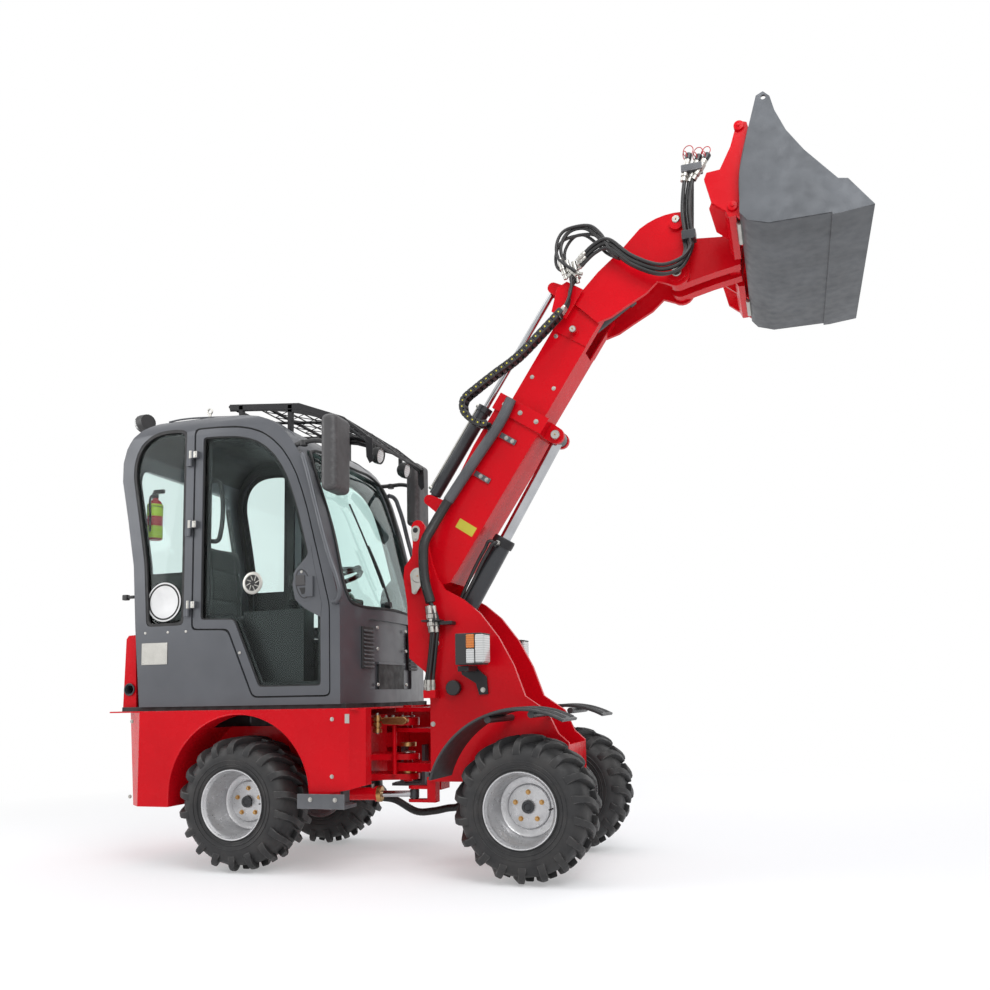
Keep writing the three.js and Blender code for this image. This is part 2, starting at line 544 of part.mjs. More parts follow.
function mirrorShape() {
  const housing = frontPrism(roundBox(CAB_HALF - 90, CAB_HALF + 86, 1850, 2236, 40), -975, -890);
  const arm = bar([-935, CAB_HALF - 50, 2200], [-1250, CAB_HALF - 50, 2120], 11, 8);
  return cut(join(housing, arm), cabLayer(-FIT));
}
const mirrorBody = mirrorShape();
add("mirror_left", mirrorBody, "black");
add("mirror_right", mirrored(mirrorBody), "black");

function workLamp() {
  const head = solid(new THREE.CylinderGeometry(52, 44, 60, 16).rotateZ(1.15)
    .translate(-2225, -GUARD_HALF, 2400));
  return cut(join(head, bar([-2225, -GUARD_HALF, 2395], [-2100, -GUARD_HALF, 2200], 12, 8)), cabLayer(-FIT));
}
add("rear_work_lamp", workLamp(), "black");

// ---------------------------------------------------------------- steering cylinder
/** A cylinder's barrel from its base eye along +X, its bore open at the rod's end. */
const barrelShape = ({ pin, r, bore, length, eye, half }) => {
  const neck = half - 1;
  const profile = [[0, eye * 0.5], [neck, eye * 0.5], [neck, eye + 10], [r, eye + 12], [r, length - 34],
    [r + 7, length - 32],
    [r + 7, length], [bore, length], [bore, eye + 20], [0, eye + 20]];
  const shell = solid(turned(profile, 16).rotateZ(-Math.PI / 2));
  const eyeBody = barY(0, 0, eye, -half, half);
  return cut(join(shell, eyeBody), barY(0, 0, pin + PIN_GAP, -r - 10, r + 10));
};
/** A rod from its eye back along -X. */
const rodShape = ({ rod, rodLength, eye, half }) =>
  join(bar([-rodLength, 0, 0], [0, 0, 0], rod, 12), barY(0, 0, eye, -half, half));

const place = (body, origin, direction) => {
  const x = new THREE.Vector3(...direction).normalize();
  const up = Math.abs(x.y) > 1e-6
    ? new THREE.Vector3(0, 0, 1) : new THREE.Vector3().crossVectors(x, new THREE.Vector3(0, 1, 0));
  const y = new THREE.Vector3().crossVectors(up, x).normalize();
  const z = new THREE.Vector3().crossVectors(x, y);
  const m = new THREE.Matrix4().makeBasis(x, y, z).setPosition(origin[0], origin[1], origin[2]);
  return body.transform(m.toArray());
};
/** Turns a cylinder whose pins run along Z instead of Y. */
const upright = (body) => body.rotate([90, 0, 0]);

const steerWay = [STEER_EYE.x - STEER_BASE.x, STEER_EYE.y - STEER_BASE.y, 0];
add("steering_barrel", place(upright(barrelShape(STEER_BARREL)),
  [STEER_BASE.x, STEER_BASE.y, STEER_CYL_Z], steerWay), "red");
add("steering_rod", place(upright(rodShape(STEER_BARREL)),
  [STEER_EYE.x, STEER_EYE.y, STEER_CYL_Z], steerWay), "chrome");

// ---------------------------------------------------------------- front frame
const TOWER = [
  [-575, FRAME_BOTTOM], [-575, 818], [-600, 962], [-688, 1036], [-698, 1317], [-717, 1450],
  [-712, 1508], [-668, 1564], [-664, 1630], [-671, 1719], [-660, 1740], [-640, 1750], [-618, 1745],
  [-600, 1720], [-588, 1650], [-560, 1520], [-530, 1440], [-492, 1382], [-390, 1324], [-301, 1249],
  [-207, 1126], [-130, 984], [-75, 832], [36, 756], [87, 650], [139, 605], [139, FRAME_BOTTOM]];
const LIFT_PIN_R = 28;

function frontFrame() {
  const out = TOWER_IN + TOWER_T;
  const plate = sidePrism(TOWER, TOWER_IN, out);
  const bottom = block(-575, 139, -TOWER_IN - 2, TOWER_IN + 2, FRAME_BOTTOM, FRAME_BOTTOM + 24);
  const back = block(-575, -551, -TOWER_IN - 2, TOWER_IN + 2, FRAME_BOTTOM, 800);
  const nose = block(117, 139, -TOWER_IN - 2, TOWER_IN + 2, FRAME_BOTTOM, 595);
  const stretcher = barY(-330, 700, 36, -TOWER_IN - 2, TOWER_IN + 2, 16);
  const yoke = YOKE_PLATES_Z.map((z) => pivotArm(-570, YOKE_HALF, 68, z));
  const pins = [[YOKE_PLATES_Z[1][0], 795], [398, LOWER_ARMS_Z[1][1] + 10]].map(([a, b]) =>
    barZ(STEER_X, 0, STEER_PIN_R, a, b));
  const basePin = barY(LIFT_BASE.x, LIFT_BASE.z, LIFT_BARREL.pin, -out - 8, out + 8);
  const boss = join(
    barY(LIFT_PIVOT.x, LIFT_PIVOT.z, 62, out - 2, out + 14, 20),
    barY(LIFT_BASE.x, LIFT_BASE.z, 44, out - 2, out + 6));
  const pivotPin = barY(LIFT_PIVOT.x, LIFT_PIVOT.z, LIFT_PIN_R, -out - 20, out + 20, 20);
  const ears = join(steerEars().map(([z0, z1]) => planPrism([[-560, -110], [-640, -110],
    ...arc(STEER_EYE.x, STEER_EYE.y, 30, 120, 300, 8), [-610, -178], [-560, -178]], z0, z1)),
  block(-600, -555, -178, -120, steerEars()[0][0], FRAME_BOTTOM + 20));
  const lug = block(-612, -570, -60, 60, 361, 521);
  const coupling = block(-585, -520, TOWER_HOSE_Y - 24, -out + 5, 830, 870);
  return join(coupling, sides(plate), bottom, back, nose, stretcher, yoke, pins, basePin, sides(boss),
    pivotPin, ears, lug);
}
add("front_frame", frontFrame(), "red");

function fenderShape() {
  const skin = sidePrism([...arc(0, TYRE_R, 450, 62, 163, 18), ...arc(0, TYRE_R, 438, 163, 62, 18)],
  TRACK_HALF - TYRE_HALF + 12, TRACK_HALF + TYRE_HALF - 6);
  const reach = 425;
  const strut = (angle) => {
    const a = THREE.MathUtils.degToRad(angle);
    return barY(reach * Math.cos(a), TYRE_R + reach * Math.sin(a), 16, TOWER_IN + TOWER_T + FIT,
      TRACK_HALF + TYRE_HALF - 18, 12);
  };
  return join(skin, strut(110), strut(82));
}
const fender = fenderShape();
add("front_fender_left", fender, "black");
add("front_fender_right", mirrored(fender), "black");

function headlightShape() {
  const out = TOWER_IN + TOWER_T + FIT;
  return join(block(-363, -225, 290, 385, 987, 1138), block(-300, -270, out, 292, 1020, 1100));
}
const headlight = headlightShape();
add("headlight_left", headlight, "black");
add("headlight_right", mirrored(headlight), "black");

// ---------------------------------------------------------------- boom
const liftLug = onBoom(LIFT_LUG);
const tiltBase = onBoom(TILT_BASE);
const hitchArm = {
  x: HITCH_PIVOT.x + HITCH_ARM.r * Math.cos(HITCH_ARM.angle),
  z: HITCH_PIVOT.z + HITCH_ARM.r * Math.sin(HITCH_ARM.angle),
};

/** Two ears that hold an eye of the extension cylinder above the boom's skin at height foot. */
const scopeLugs = ({ s, t }, foot) => {
  const loop = boomLoop([[s - 45, foot], ...arc(s, t, 28, 180, 0, 8), [s + 45, foot]]);
  const near = SCOPE_BARREL.half + SIDE_GAP;
  return join([[-near - 12, -near], [near, near + 12]].map(([a, b]) =>
    sidePrism(loop, SCOPE_Y + a, SCOPE_Y + b)));
};
function boomOuter() {
  const side = boomLoop([[-70, -40], [-20, -75], [55, OUTER_LOW], [OUTER_END, OUTER_LOW],
    [OUTER_END, OUTER_HIGH], [720, OUTER_HIGH], [300, 106], [40, 78], [-40, 60], [-75, 20]]);
  const inner = boomLoop([[150, OUTER_LOW + OUTER_WALL], [OUTER_END + 60, OUTER_LOW + OUTER_WALL],
    [OUTER_END + 60, OUTER_HIGH - OUTER_WALL], [722, OUTER_HIGH - OUTER_WALL], [300, 94], [150, 78]]);
  const box = cut(sidePrism(side, -OUTER_HALF, OUTER_HALF),
    sidePrism(inner, -OUTER_HALF + OUTER_WALL, OUTER_HALF - OUTER_WALL));
  const ring = (s0, s1, low, high, half) => sidePrism(boomLoop(
    [[s0, low], [s1, low], [s1, high], [s0, high]]), -half, half);
  const collar = cut(ring(OUTER_END - 90, OUTER_END, OUTER_LOW - 14, OUTER_HIGH + 12, OUTER_HALF + 14),
    ring(OUTER_END - 100, OUTER_END + 10, INNER_LOW - PIN_GAP, INNER_HIGH + PIN_GAP, INNER_HALF + PIN_GAP));
  const pivot = barY(LIFT_PIVOT.x, LIFT_PIVOT.z, 70, -TOWER_IN + SIDE_GAP, TOWER_IN - SIDE_GAP, 24);
  const lugLoop = boomLoop([[LIFT_LUG.s - 42, OUTER_LOW + 5], ...arc(LIFT_LUG.s, LIFT_LUG.t, 42, 180, 345, 7),
    [OUTER_END - 2, OUTER_LOW + 5]]);
  const lug = sidePrism(lugLoop, LIFT_BARREL.half + SIDE_GAP, LIFT_BARREL.half + SIDE_GAP + LIFT_LUG_T);
  const lugFace = LIFT_BARREL.half + SIDE_GAP + LIFT_LUG_T;
  const head = barY(liftLug.x, liftLug.z, 26, lugFace - 4, lugFace + 16);
  const swing = barY(LIFT_PIVOT.x, LIFT_PIVOT.z, LIFT_PIN_R + PIN_GAP, -300, 300, 24);
  const clamps = HOSE_CLAMPS.map(({ s: at, t }) => sidePrism(boomLoop(
    [[at - 18, t - 24], [at + 18, t - 24], [at + 18, t + 24], [at - 18, t + 24]]),
  BOOM_HOSE_Y + BOOM_HOSE_R + FIT, -OUTER_HALF + 2));
  const base = onBoom(SCOPE_BASE);
  const scopePin = barY(base.x, base.z, SCOPE_BARREL.pin, SCOPE_Y - 40, SCOPE_Y + 40);
  const chainFoot = sidePrism(boomLoop([[840, 84], [880, 84], [880, 112], [840, 112]]),
    -OUTER_HALF - 14, -OUTER_HALF + 2);
  const scopeEars = join(scopeLugs(SCOPE_BASE, 100), scopePin, chainFoot);
  return cut(join(box, collar, pivot, sides(lug), sides(head), clamps, scopeEars), swing);
}
add("boom_outer", boomOuter(), "red");

const HEAD_R = 318;              // reach of the boom's head around the hitch pivot
function boomInner() {
  const tubeLoop = boomLoop([[INNER_START, INNER_LOW], [INNER_END, INNER_LOW], [INNER_END, INNER_HIGH],
    [INNER_START, INNER_HIGH]]);
  const hollow = boomLoop([[INNER_START - 20, INNER_LOW + 10], [INNER_END + 20, INNER_LOW + 10],
    [INNER_END + 20, INNER_HIGH - 10], [INNER_START - 20, INNER_HIGH - 10]]);
  const slot = sidePrism(boomLoop([[TILT_BASE.s - 60, -200], [1720, -200], [1720, 50],
    [TILT_BASE.s - 60, 50]]), -TILT_BARREL.r - 20, TILT_BARREL.r + 20);
  const beam = cut(sidePrism(tubeLoop, -INNER_HALF, INNER_HALF),
    sidePrism(hollow, -INNER_HALF + 10, INNER_HALF - 10), slot);
  const goose = [[206, 2826], [330, 2702], [400, 2722], [477, 2765], [580, 2819], [640, 2872],
    ...arc(HITCH_PIVOT.x, HITCH_PIVOT.z, 62, 230, 380, 8), [800, 3000], [808, 3100], [790, 3196],
    ...arc(HITCH_PIVOT.x, HITCH_PIVOT.z, HEAD_R, 82, 124, 5), [467, 3068], [340, 2966], [246, 2870]];
  const plate = sidePrism(goose, GOOSE_HALF - GOOSE_T, GOOSE_HALF);
  const cheek = sidePrism(boomLoop([[1440, INNER_LOW], [INNER_END, INNER_LOW], [INNER_END, INNER_HIGH],
    [1440, INNER_HIGH]]), INNER_HALF - 2, GOOSE_HALF - GOOSE_T + 2);
  const boss = barY(HITCH_PIVOT.x, HITCH_PIVOT.z, 46, GOOSE_HALF - 2, GOOSE_HALF + 16, 20);
  const pin = barY(HITCH_PIVOT.x, HITCH_PIVOT.z, 24, -GOOSE_HALF - 22, GOOSE_HALF + 22, 20);
  const stub = barY(744, 3150, 34, GOOSE_HALF - 2, GOOSE_HALF + 18, 16);
  const basePin = barY(tiltBase.x, tiltBase.z, TILT_BARREL.pin, -GOOSE_HALF - 14, GOOSE_HALF + 14);
  const ears = scopeLugs(SCOPE_END, INNER_HIGH - 4);
  const coupling = block(775, 835, -GOOSE_HALF - 53, -GOOSE_HALF + 4, 3040, 3080);
  return join(beam, sides(plate), sides(cheek), sides(boss), pin, sides(stub), basePin, ears, coupling);
}
add("boom_inner", boomInner(), "red");

const liftWay = [liftLug.x - LIFT_BASE.x, 0, liftLug.z - LIFT_BASE.z];
add("lift_barrel", place(barrelShape(LIFT_BARREL), [LIFT_BASE.x, 0, LIFT_BASE.z], liftWay), "black");
add("lift_rod", place(rodShape(LIFT_BARREL), [liftLug.x, 0, liftLug.z], liftWay), "chrome");

const tiltWay = [hitchArm.x - tiltBase.x, 0, hitchArm.z - tiltBase.z];
add("tilt_barrel", place(barrelShape(TILT_BARREL), [tiltBase.x, 0, tiltBase.z], tiltWay), "black");
add("tilt_rod", place(rodShape(TILT_BARREL), [hitchArm.x, 0, hitchArm.z], tiltWay), "chrome");

// ---------------------------------------------------------------- hitch and bucket
function hitch() {
  const face = BUCKET_BACK.map(([x, z]) => [x - 0.5, z]);
  const end = [...face, [1112, 3330], [1085, 3340], [1066, 3322], [1038, 3230], [988, 3132], [930, 3128],
    [918, 3099], [946, 2985], [993, 2945], [1030, 2922]];
  const cheek = sidePrism(end, HITCH_HALF - 20, HITCH_HALF);
  const web = sidePrism(end, 300, 316);
  const low = [[1000, 2946], [1018, 2905], [1048, 2905], [1052, 2970], [1020, 2975]];
  const high = [[1050, 3004], [1067.8, 3000], [1070.4, 3062], [1054, 3066]];
  const bars = join(sides(sidePrism(low, GOOSE_HALF + 30, HITCH_HALF)),
    sidePrism(high, -HITCH_HALF, HITCH_HALF), barY(1088, 3316, 20, -HITCH_HALF, HITCH_HALF, 12));
  const inner = GOOSE_HALF - GOOSE_T - SIDE_GAP;
  const lug = sidePrism([[1040, 2905], [1064, 3050], [1096, 3300], [1070, 3322], [960, 3060],
    ...arc(hitchArm.x, hitchArm.z, 40, 60, 180, 6),
    ...arc(HITCH_PIVOT.x, HITCH_PIVOT.z, HITCH_BOSS_R, 175, 290, 8),
    [900, 2880]], TILT_BARREL.half + SIDE_GAP, inner);
  const spacer = block(985, 1035, -inner, inner, 2915, 2960);
  const bore = barY(HITCH_PIVOT.x, HITCH_PIVOT.z, 24 + PIN_GAP, -200, 200, 24);
  return cut(join(sides(cheek), sides(web), bars, sides(lug), spacer), bore);
}
add("hitch", hitch(), "red");

function bucket() {
  const end = [[1187, 3431], [1157, 3417], ...[...BUCKET_BACK].reverse(), [1096, 2858],
    [1181, 2830], [1470, 2830], [1608, 2834], [1510, 2967], [1471, 2975], [1343, 3128], [1274, 3233],
    [1231, 3334], [1214, 3404]];
  const cheek = sidePrism(end, BUCKET_HALF - BUCKET_T, BUCKET_HALF);
  const skinOut = [[1608, 2832], [1470, 2828], [1181, 2828], [1094, 2858], ...BUCKET_BACK];
  const skinIn = [[1134, 3288], [1084, 3080], [1076, 2901], [1102, 2868], [1184, 2840], [1470, 2842],
    [1606, 2836]];
  const skin = sidePrism([...skinOut, ...skinIn], -BUCKET_HALF + BUCKET_T / 2, BUCKET_HALF - BUCKET_T / 2);
  const blade = sidePrism([[1608, 2834], [1470, 2820], [1440, 2820], [1440, 2832], [1500, 2846]],
    -BUCKET_HALF, BUCKET_HALF);
  return join(sides(cheek), skin, blade);
}
add("bucket", bucket(), "bucket");

// ---------------------------------------------------------------- extension cylinder and hoses
const boomPoint = ({ s, t }, y) => [onBoom({ s, t }).x, y, onBoom({ s, t }).z];
const scopeWay = [Math.cos(BOOM_ANGLE), 0, Math.sin(BOOM_ANGLE)];
add("extension_barrel", place(barrelShape(SCOPE_BARREL), boomPoint(SCOPE_BASE, SCOPE_Y), scopeWay), "grey");
add("extension_rod", place(rodShape(SCOPE_BARREL), boomPoint(SCOPE_END, SCOPE_Y), scopeWay), "chrome");

const CHAIN_ROUTE = [
  [1530, 70], [1410, 100], [1230, 150], [1090, 215], [985, 262], [905, 290], [852, 262], [832, 205],
  [836, 140], [860, 96]];
const CHAIN_T = 34;
function hoseChain() {
  const half = CHAIN_T / 2;
  const line = CHAIN_ROUTE.map(([s, t]) => new THREE.Vector2(s, t));
  const normals = line.map((_, i) => {
    const a = line[Math.max(0, i - 1)];
    const b = line[Math.min(line.length - 1, i + 1)];
    return b.clone().sub(a).normalize();
  });
  const edge = (sign) => line.map((p, i) =>
    [p.x - sign * half * normals[i].y, p.y + sign * half * normals[i].x]);
  return sidePrism(boomLoop([...edge(1), ...edge(-1).reverse()]), -OUTER_HALF - 76, -OUTER_HALF - 14 - FIT);
}
add("hose_chain", hoseChain(), "black");

const HOSE_BEND_Y = TOWER_HOSE_Y - 12;  // where the hoses pass outside the boom's pivot
add("boom_hoses", tube([
  [-121, BOOM_HOSE_Y, 2343], [-189, BOOM_HOSE_Y, 2219], [-356, BOOM_HOSE_Y, 1998],
  [-470, BOOM_HOSE_Y - 5, 1840], [-540, (BOOM_HOSE_Y + HOSE_BEND_Y) / 2, 1710], [-575, HOSE_BEND_Y + 4, 1625],
  [-583, HOSE_BEND_Y, 1570], [-583, HOSE_BEND_Y, 1540]], BOOM_HOSE_R, 18), "black");
add("tower_hoses", tube([
  [-560, HOSE_BEND_Y, 1312], [-545, HOSE_BEND_Y + 2, 1290], [-512, TOWER_HOSE_Y - 4, 1221],
  [-525, TOWER_HOSE_Y - 2, 1100], [-545, TOWER_HOSE_Y - 1, 980], [-554, TOWER_HOSE_Y, 910],
  [-554, TOWER_HOSE_Y, 870.5]], BOOM_HOSE_R, 14), "black");
add("articulation_hose", tube([
  [-1011, 0, 399.5], [-1011, 0, 365], [-950, 0, 316], [-854, 0, 300], [-737, 0, 243], [-640, 0, 246],
  [-560, 0, 262], [-500, 0, 272], [-456, 0, 320], [-445, 0, 370], [-445, 0, 414.4]], 18, 26), "black");
const HEAD_HOSE_Y = -GOOSE_HALF - 75;
add("head_hoses", tube([
  [262, HEAD_HOSE_Y + 25, 3010], [340, HEAD_HOSE_Y + 18, 3066], [416, HEAD_HOSE_Y + 8, 3072],
  [527, HEAD_HOSE_Y, 2967], [661, HEAD_HOSE_Y, 2897], [760, HEAD_HOSE_Y + 10, 2915],
  [806, HEAD_HOSE_Y + 35, 2990], [806, HEAD_HOSE_Y + 35, 3039.5]], 14, 20), "black");

// ---------------------------------------------------------------- place on the ground
const size = new THREE.Box3().setFromObject(model);
const middle = size.getCenter(new THREE.Vector3());
model.position.set(-middle.x, -middle.y, -size.min.z);
model.updateMatrixWorld(true);

export default model;
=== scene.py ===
"""Compact articulated wheel loader with a telescopic boom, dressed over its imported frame.

Sizes are in millimetres in the maker's own frame: the origin is the ground under the front axle,
x runs forward, y to the left and z up. `at` and `on_boom` bring them into the scene's metres.
"""
import json
import logging
import math
from dataclasses import dataclass
from enum import Enum
from typing import ClassVar, Optional, Sequence

import bmesh
import bpy
from mathutils import Matrix, Vector

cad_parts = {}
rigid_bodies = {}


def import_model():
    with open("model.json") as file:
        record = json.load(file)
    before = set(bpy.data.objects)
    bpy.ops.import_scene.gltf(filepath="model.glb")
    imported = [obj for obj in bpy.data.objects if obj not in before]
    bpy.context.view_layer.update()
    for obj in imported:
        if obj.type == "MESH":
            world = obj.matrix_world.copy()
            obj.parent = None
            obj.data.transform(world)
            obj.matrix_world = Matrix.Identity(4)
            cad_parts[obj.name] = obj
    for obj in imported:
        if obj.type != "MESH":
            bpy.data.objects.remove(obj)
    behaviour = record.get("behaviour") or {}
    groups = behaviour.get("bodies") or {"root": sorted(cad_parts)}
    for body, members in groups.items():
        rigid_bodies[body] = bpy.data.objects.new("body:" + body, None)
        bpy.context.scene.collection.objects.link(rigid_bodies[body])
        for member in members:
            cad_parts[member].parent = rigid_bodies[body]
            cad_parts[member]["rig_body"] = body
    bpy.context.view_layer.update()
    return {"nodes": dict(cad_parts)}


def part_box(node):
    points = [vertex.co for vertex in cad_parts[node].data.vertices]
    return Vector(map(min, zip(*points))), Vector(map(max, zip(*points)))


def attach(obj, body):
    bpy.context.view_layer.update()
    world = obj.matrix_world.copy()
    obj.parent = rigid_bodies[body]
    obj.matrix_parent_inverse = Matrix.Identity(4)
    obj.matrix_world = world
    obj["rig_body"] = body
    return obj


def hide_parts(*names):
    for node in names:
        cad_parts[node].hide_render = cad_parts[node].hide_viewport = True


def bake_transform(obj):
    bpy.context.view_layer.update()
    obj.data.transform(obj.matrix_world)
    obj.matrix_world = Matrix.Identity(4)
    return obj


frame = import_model()
LOG = logging.getLogger("wheel_loader")

Colour = tuple[float, float, float]
Point = tuple[float, float, float]
Flat = tuple[float, float]
Mesh = bmesh.types.BMesh
Socket = bpy.types.NodeSocket

AXLE_X = sum(corner.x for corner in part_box("front_left_tyre")) / 2
BOOM_PIVOT: Flat = (-627.0, 1453.0)
BOOM_ANGLE = math.radians(56.5)
FORWARD, LEFT, RIGHT, UP = Vector((1, 0, 0)), Vector((0, 1, 0)), Vector((0, -1, 0)), Vector((0, 0, 1))
OVER_BOOM = Vector((-math.sin(BOOM_ANGLE), 0, math.cos(BOOM_ANGLE)))
SHARP = math.radians(38)
WEAR = "edge_wear"


def at(x: float, y: float, z: float) -> Vector:
    """Scene point of a point in the maker's frame."""
    return Vector((AXLE_X + x / 1000, y / 1000, z / 1000))


def on_boom(s: float, y: float, t: float) -> Point:
    """Maker's point at s along the boom from its pivot, t above its middle line and y to the left."""
    ahead, up = math.cos(BOOM_ANGLE), math.sin(BOOM_ANGLE)
    return (BOOM_PIVOT[0] + s * ahead - t * up, y, BOOM_PIVOT[1] + s * up + t * ahead)


class Side(Enum):
    """The two sides of the machine."""

    LEFT = 1
    RIGHT = -1


# --- finishes
class Graph:
    """Node graph of one material, with short calls for the nodes that the finishes use."""

    def __init__(self, name: str) -> None:
        """Start an empty material round its main shader.

        Args:
            name: Name of the material.
        """
        self.material = bpy.data.materials.new(name)
        self.material.use_nodes = True
        self.nodes = self.material.node_tree.nodes
        self.links = self.material.node_tree.links
        self.shader = self.nodes["Principled BSDF"]
        self.place = self.nodes.new("ShaderNodeTexCoord").outputs["Object"]

    def constant(self, **values: float) -> None:
        """Set constants on the shader's own sockets, named with underscores for spaces."""
        for name, value in values.items():
            self.shader.inputs[name.replace("_", " ")].default_value = value

    def noise(self, scale: float, detail: float = 4.0, stretch: Point = (1, 1, 1)) -> Socket:
        """Noise over the object's own coordinates.

        Args:
            scale: Features in a metre.
            detail: Octaves.
            stretch: Factor on each axis, for brushed or drawn marks.

        Returns:
            The noise's value socket.
        """
        mapping = self.nodes.new("ShaderNodeMapping")
        mapping.inputs["Scale"].default_value = stretch
        self.links.new(self.place, mapping.inputs["Vector"])
        node = self.nodes.new("ShaderNodeTexNoise")
        node.inputs["Scale"].default_value = scale
        node.inputs["Detail"].default_value = detail
        self.links.new(mapping.outputs["Vector"], node.inputs["Vector"])
        return node.outputs["Fac"]

    def cells(self, scale: float) -> Socket:
        """Distance field of small cells, for grain and cast texture."""
        node = self.nodes.new("ShaderNodeTexVoronoi")
        node.inputs["Scale"].default_value = scale
        self.links.new(self.place, node.inputs["Vector"])
        return node.outputs["Distance"]

    def bands(self, scale: float) -> Socket:
        """Even level bands, for lens ribs."""
        node = self.nodes.new("ShaderNodeTexWave")
        node.bands_direction = "Z"
        node.inputs["Scale"].default_value = scale
        self.links.new(self.place, node.inputs["Vector"])
        return node.outputs["Fac"]

    def spread(self, source: Socket, span: Flat, to: Flat) -> Socket:
        """Map a value from one span to another, held at its ends.

        Args:
            source: Socket to read.
            span: Lowest and highest value read.
            to: What they become.

        Returns:
            The mapped value's socket.
        """
        node = self.nodes.new("ShaderNodeMapRange")
        for name, value in zip(("From Min", "From Max", "To Min", "To Max"), (*span, *to)):
            node.inputs[name].default_value = value
        self.links.new(source, node.inputs["Value"])
        return node.outputs["Result"]

    def worn(self, mask: Socket) -> Socket:
        """A mask kept to the crowns of the rounded edges."""
        crown = self.nodes.new("ShaderNodeAttribute")
        crown.attribute_name = WEAR
        node = self.nodes.new("ShaderNodeMath")
        node.operation = "MULTIPLY"
        self.links.new(crown.outputs["Fac"], node.inputs[0])
        self.links.new(mask, node.inputs[1])
        return node.outputs["Value"]

    def mixed(self, mask: Socket, low: object, high: object) -> Socket:
        """Mix two colours, each a constant or a socket, by a mask."""
        node = self.nodes.new("ShaderNodeMix")
        node.data_type = "RGBA"
        self.links.new(mask, node.inputs["Factor"])
        for name, colour in (("A", low), ("B", high)):
            socket = next(s for s in node.inputs if s.name == name and s.type == "RGBA")
            if isinstance(colour, Socket):
                self.links.new(colour, socket)
            else:
                socket.default_value = (*colour, 1)
        return next(s for s in node.outputs if s.type == "RGBA")

    def feed(self, name: str, source: Socket) -> None:
        """Join a socket to the shader."""
        self.links.new(source, self.shader.inputs[name])

    def bump(self, height: Socket, strength: float, depth: float,
             under: Optional[Socket] = None) -> Socket:
        """Relief on the surface.

        Args:
            height: Height field.
            strength: How much of it shows.
            depth: Its depth in metres.
            under: Normal that it lies on.

        Returns:
            The normal's socket, already joined to the shader.
        """
        node = self.nodes.new("ShaderNodeBump")
        node.inputs["Strength"].default_value = strength
        node.inputs["Distance"].default_value = depth
        self.links.new(height, node.inputs["Height"])
        if under:
            self.links.new(under, node.inputs["Normal"])
        self.feed("Normal", node.outputs["Normal"])
        return node.outputs["Normal"]


@dataclass(frozen=True)
class Finish:
    """A surface finish, with the record's slot that it stands for."""

    name: str
    slot: str
    colour: Colour
    roughness: float = 0.5
    metallic: float = 0.0
    made: ClassVar[dict[str, bpy.types.Material]] = {}

    def material(self) -> bpy.types.Material:
        """The finish's material, made once."""
        if self.name not in Finish.made:
            graph = Graph(self.name)
            graph.constant(Metallic=self.metallic, Roughness=self.roughness)
            graph.shader.inputs["Base Color"].default_value = (*self.colour, 1)
            self.shade(graph)
            Finish.made[self.name] = graph.material
        return Finish.made[self.name]

    def shade(self, graph: Graph) -> None:
        """Add this finish's own detail."""
        raise NotImplementedError

    def darker(self, factor: float) -> Colour:
        """The finish's colour times a factor."""
        return tuple(channel * factor for channel in self.colour)

    def clouded(self, graph: Graph, noise: Socket, factor: float) -> Socket:
        """The finish's colour, darker by a factor in broad clouds."""
        return graph.mixed(graph.spread(noise, (0.35, 0.7), (0, 1)), self.darker(factor), self.colour)

    def uneven(self, graph: Graph, noise: Socket, low: float, high: float, start: float = 0.3,
               end: float = 0.7) -> None:
        """Vary the roughness between two factors, over a span of the noise."""
        graph.feed("Roughness", graph.spread(noise, (start, end),
                                             (self.roughness * low, self.roughness * high)))


@dataclass(frozen=True)
class Paint(Finish):
    """Sprayed enamel over steel: faint orange peel, a little dust, and rubbed edges."""

    coat: float = 0.18
    rubbed: Colour = (0.30, 0.28, 0.27)
    rub: float = 0.35
    dust: float = 0.02
    gloss: float = 0.24

    def shade(self, graph: Graph) -> None:
        """Add this finish's own detail."""
        graph.constant(Coat_Weight=self.coat, Coat_Roughness=0.12, Specular_IOR_Level=self.gloss)
        body = self.clouded(graph, graph.noise(3.5, 3), 0.88)
        film = graph.spread(graph.noise(9, 6), (0.5, 0.8), (0, self.dust))
        dusty = graph.mixed(film, body, (0.42, 0.38, 0.34))
        chips = graph.worn(graph.spread(graph.noise(60, 5), (0.48, 0.62), (0, self.rub)))
        graph.feed("Base Color", graph.mixed(chips, dusty, self.rubbed))
        self.uneven(graph, graph.noise(14, 5), 0.8, 1.35, end=0.75)
        graph.bump(graph.noise(420, 2), 0.05, 0.0006)


@dataclass(frozen=True)
class WornSteel(Finish):
    """Painted working steel with drawn scratches and bright worn edges."""

    stretch: Point = (1, 8, 1)

    def shade(self, graph: Graph) -> None:
        """Add this finish's own detail."""
        body = self.clouded(graph, graph.noise(5, 5), 0.72)
        scratch = graph.spread(graph.noise(70, 6, self.stretch), (0.66, 0.8), (0, 0.16))
        marked = graph.mixed(scratch, body, (0.34, 0.34, 0.35))
        edge = graph.worn(graph.spread(graph.noise(35, 5), (0.35, 0.6), (0, 0.9)))
        graph.constant(Specular_IOR_Level=0.3)
        graph.feed("Base Color", graph.mixed(edge, marked, (0.30, 0.30, 0.31)))
        self.uneven(graph, graph.noise(22, 6), 0.75, 1.3, end=0.75)
        graph.bump(graph.noise(160, 5), 0.06, 0.0006)


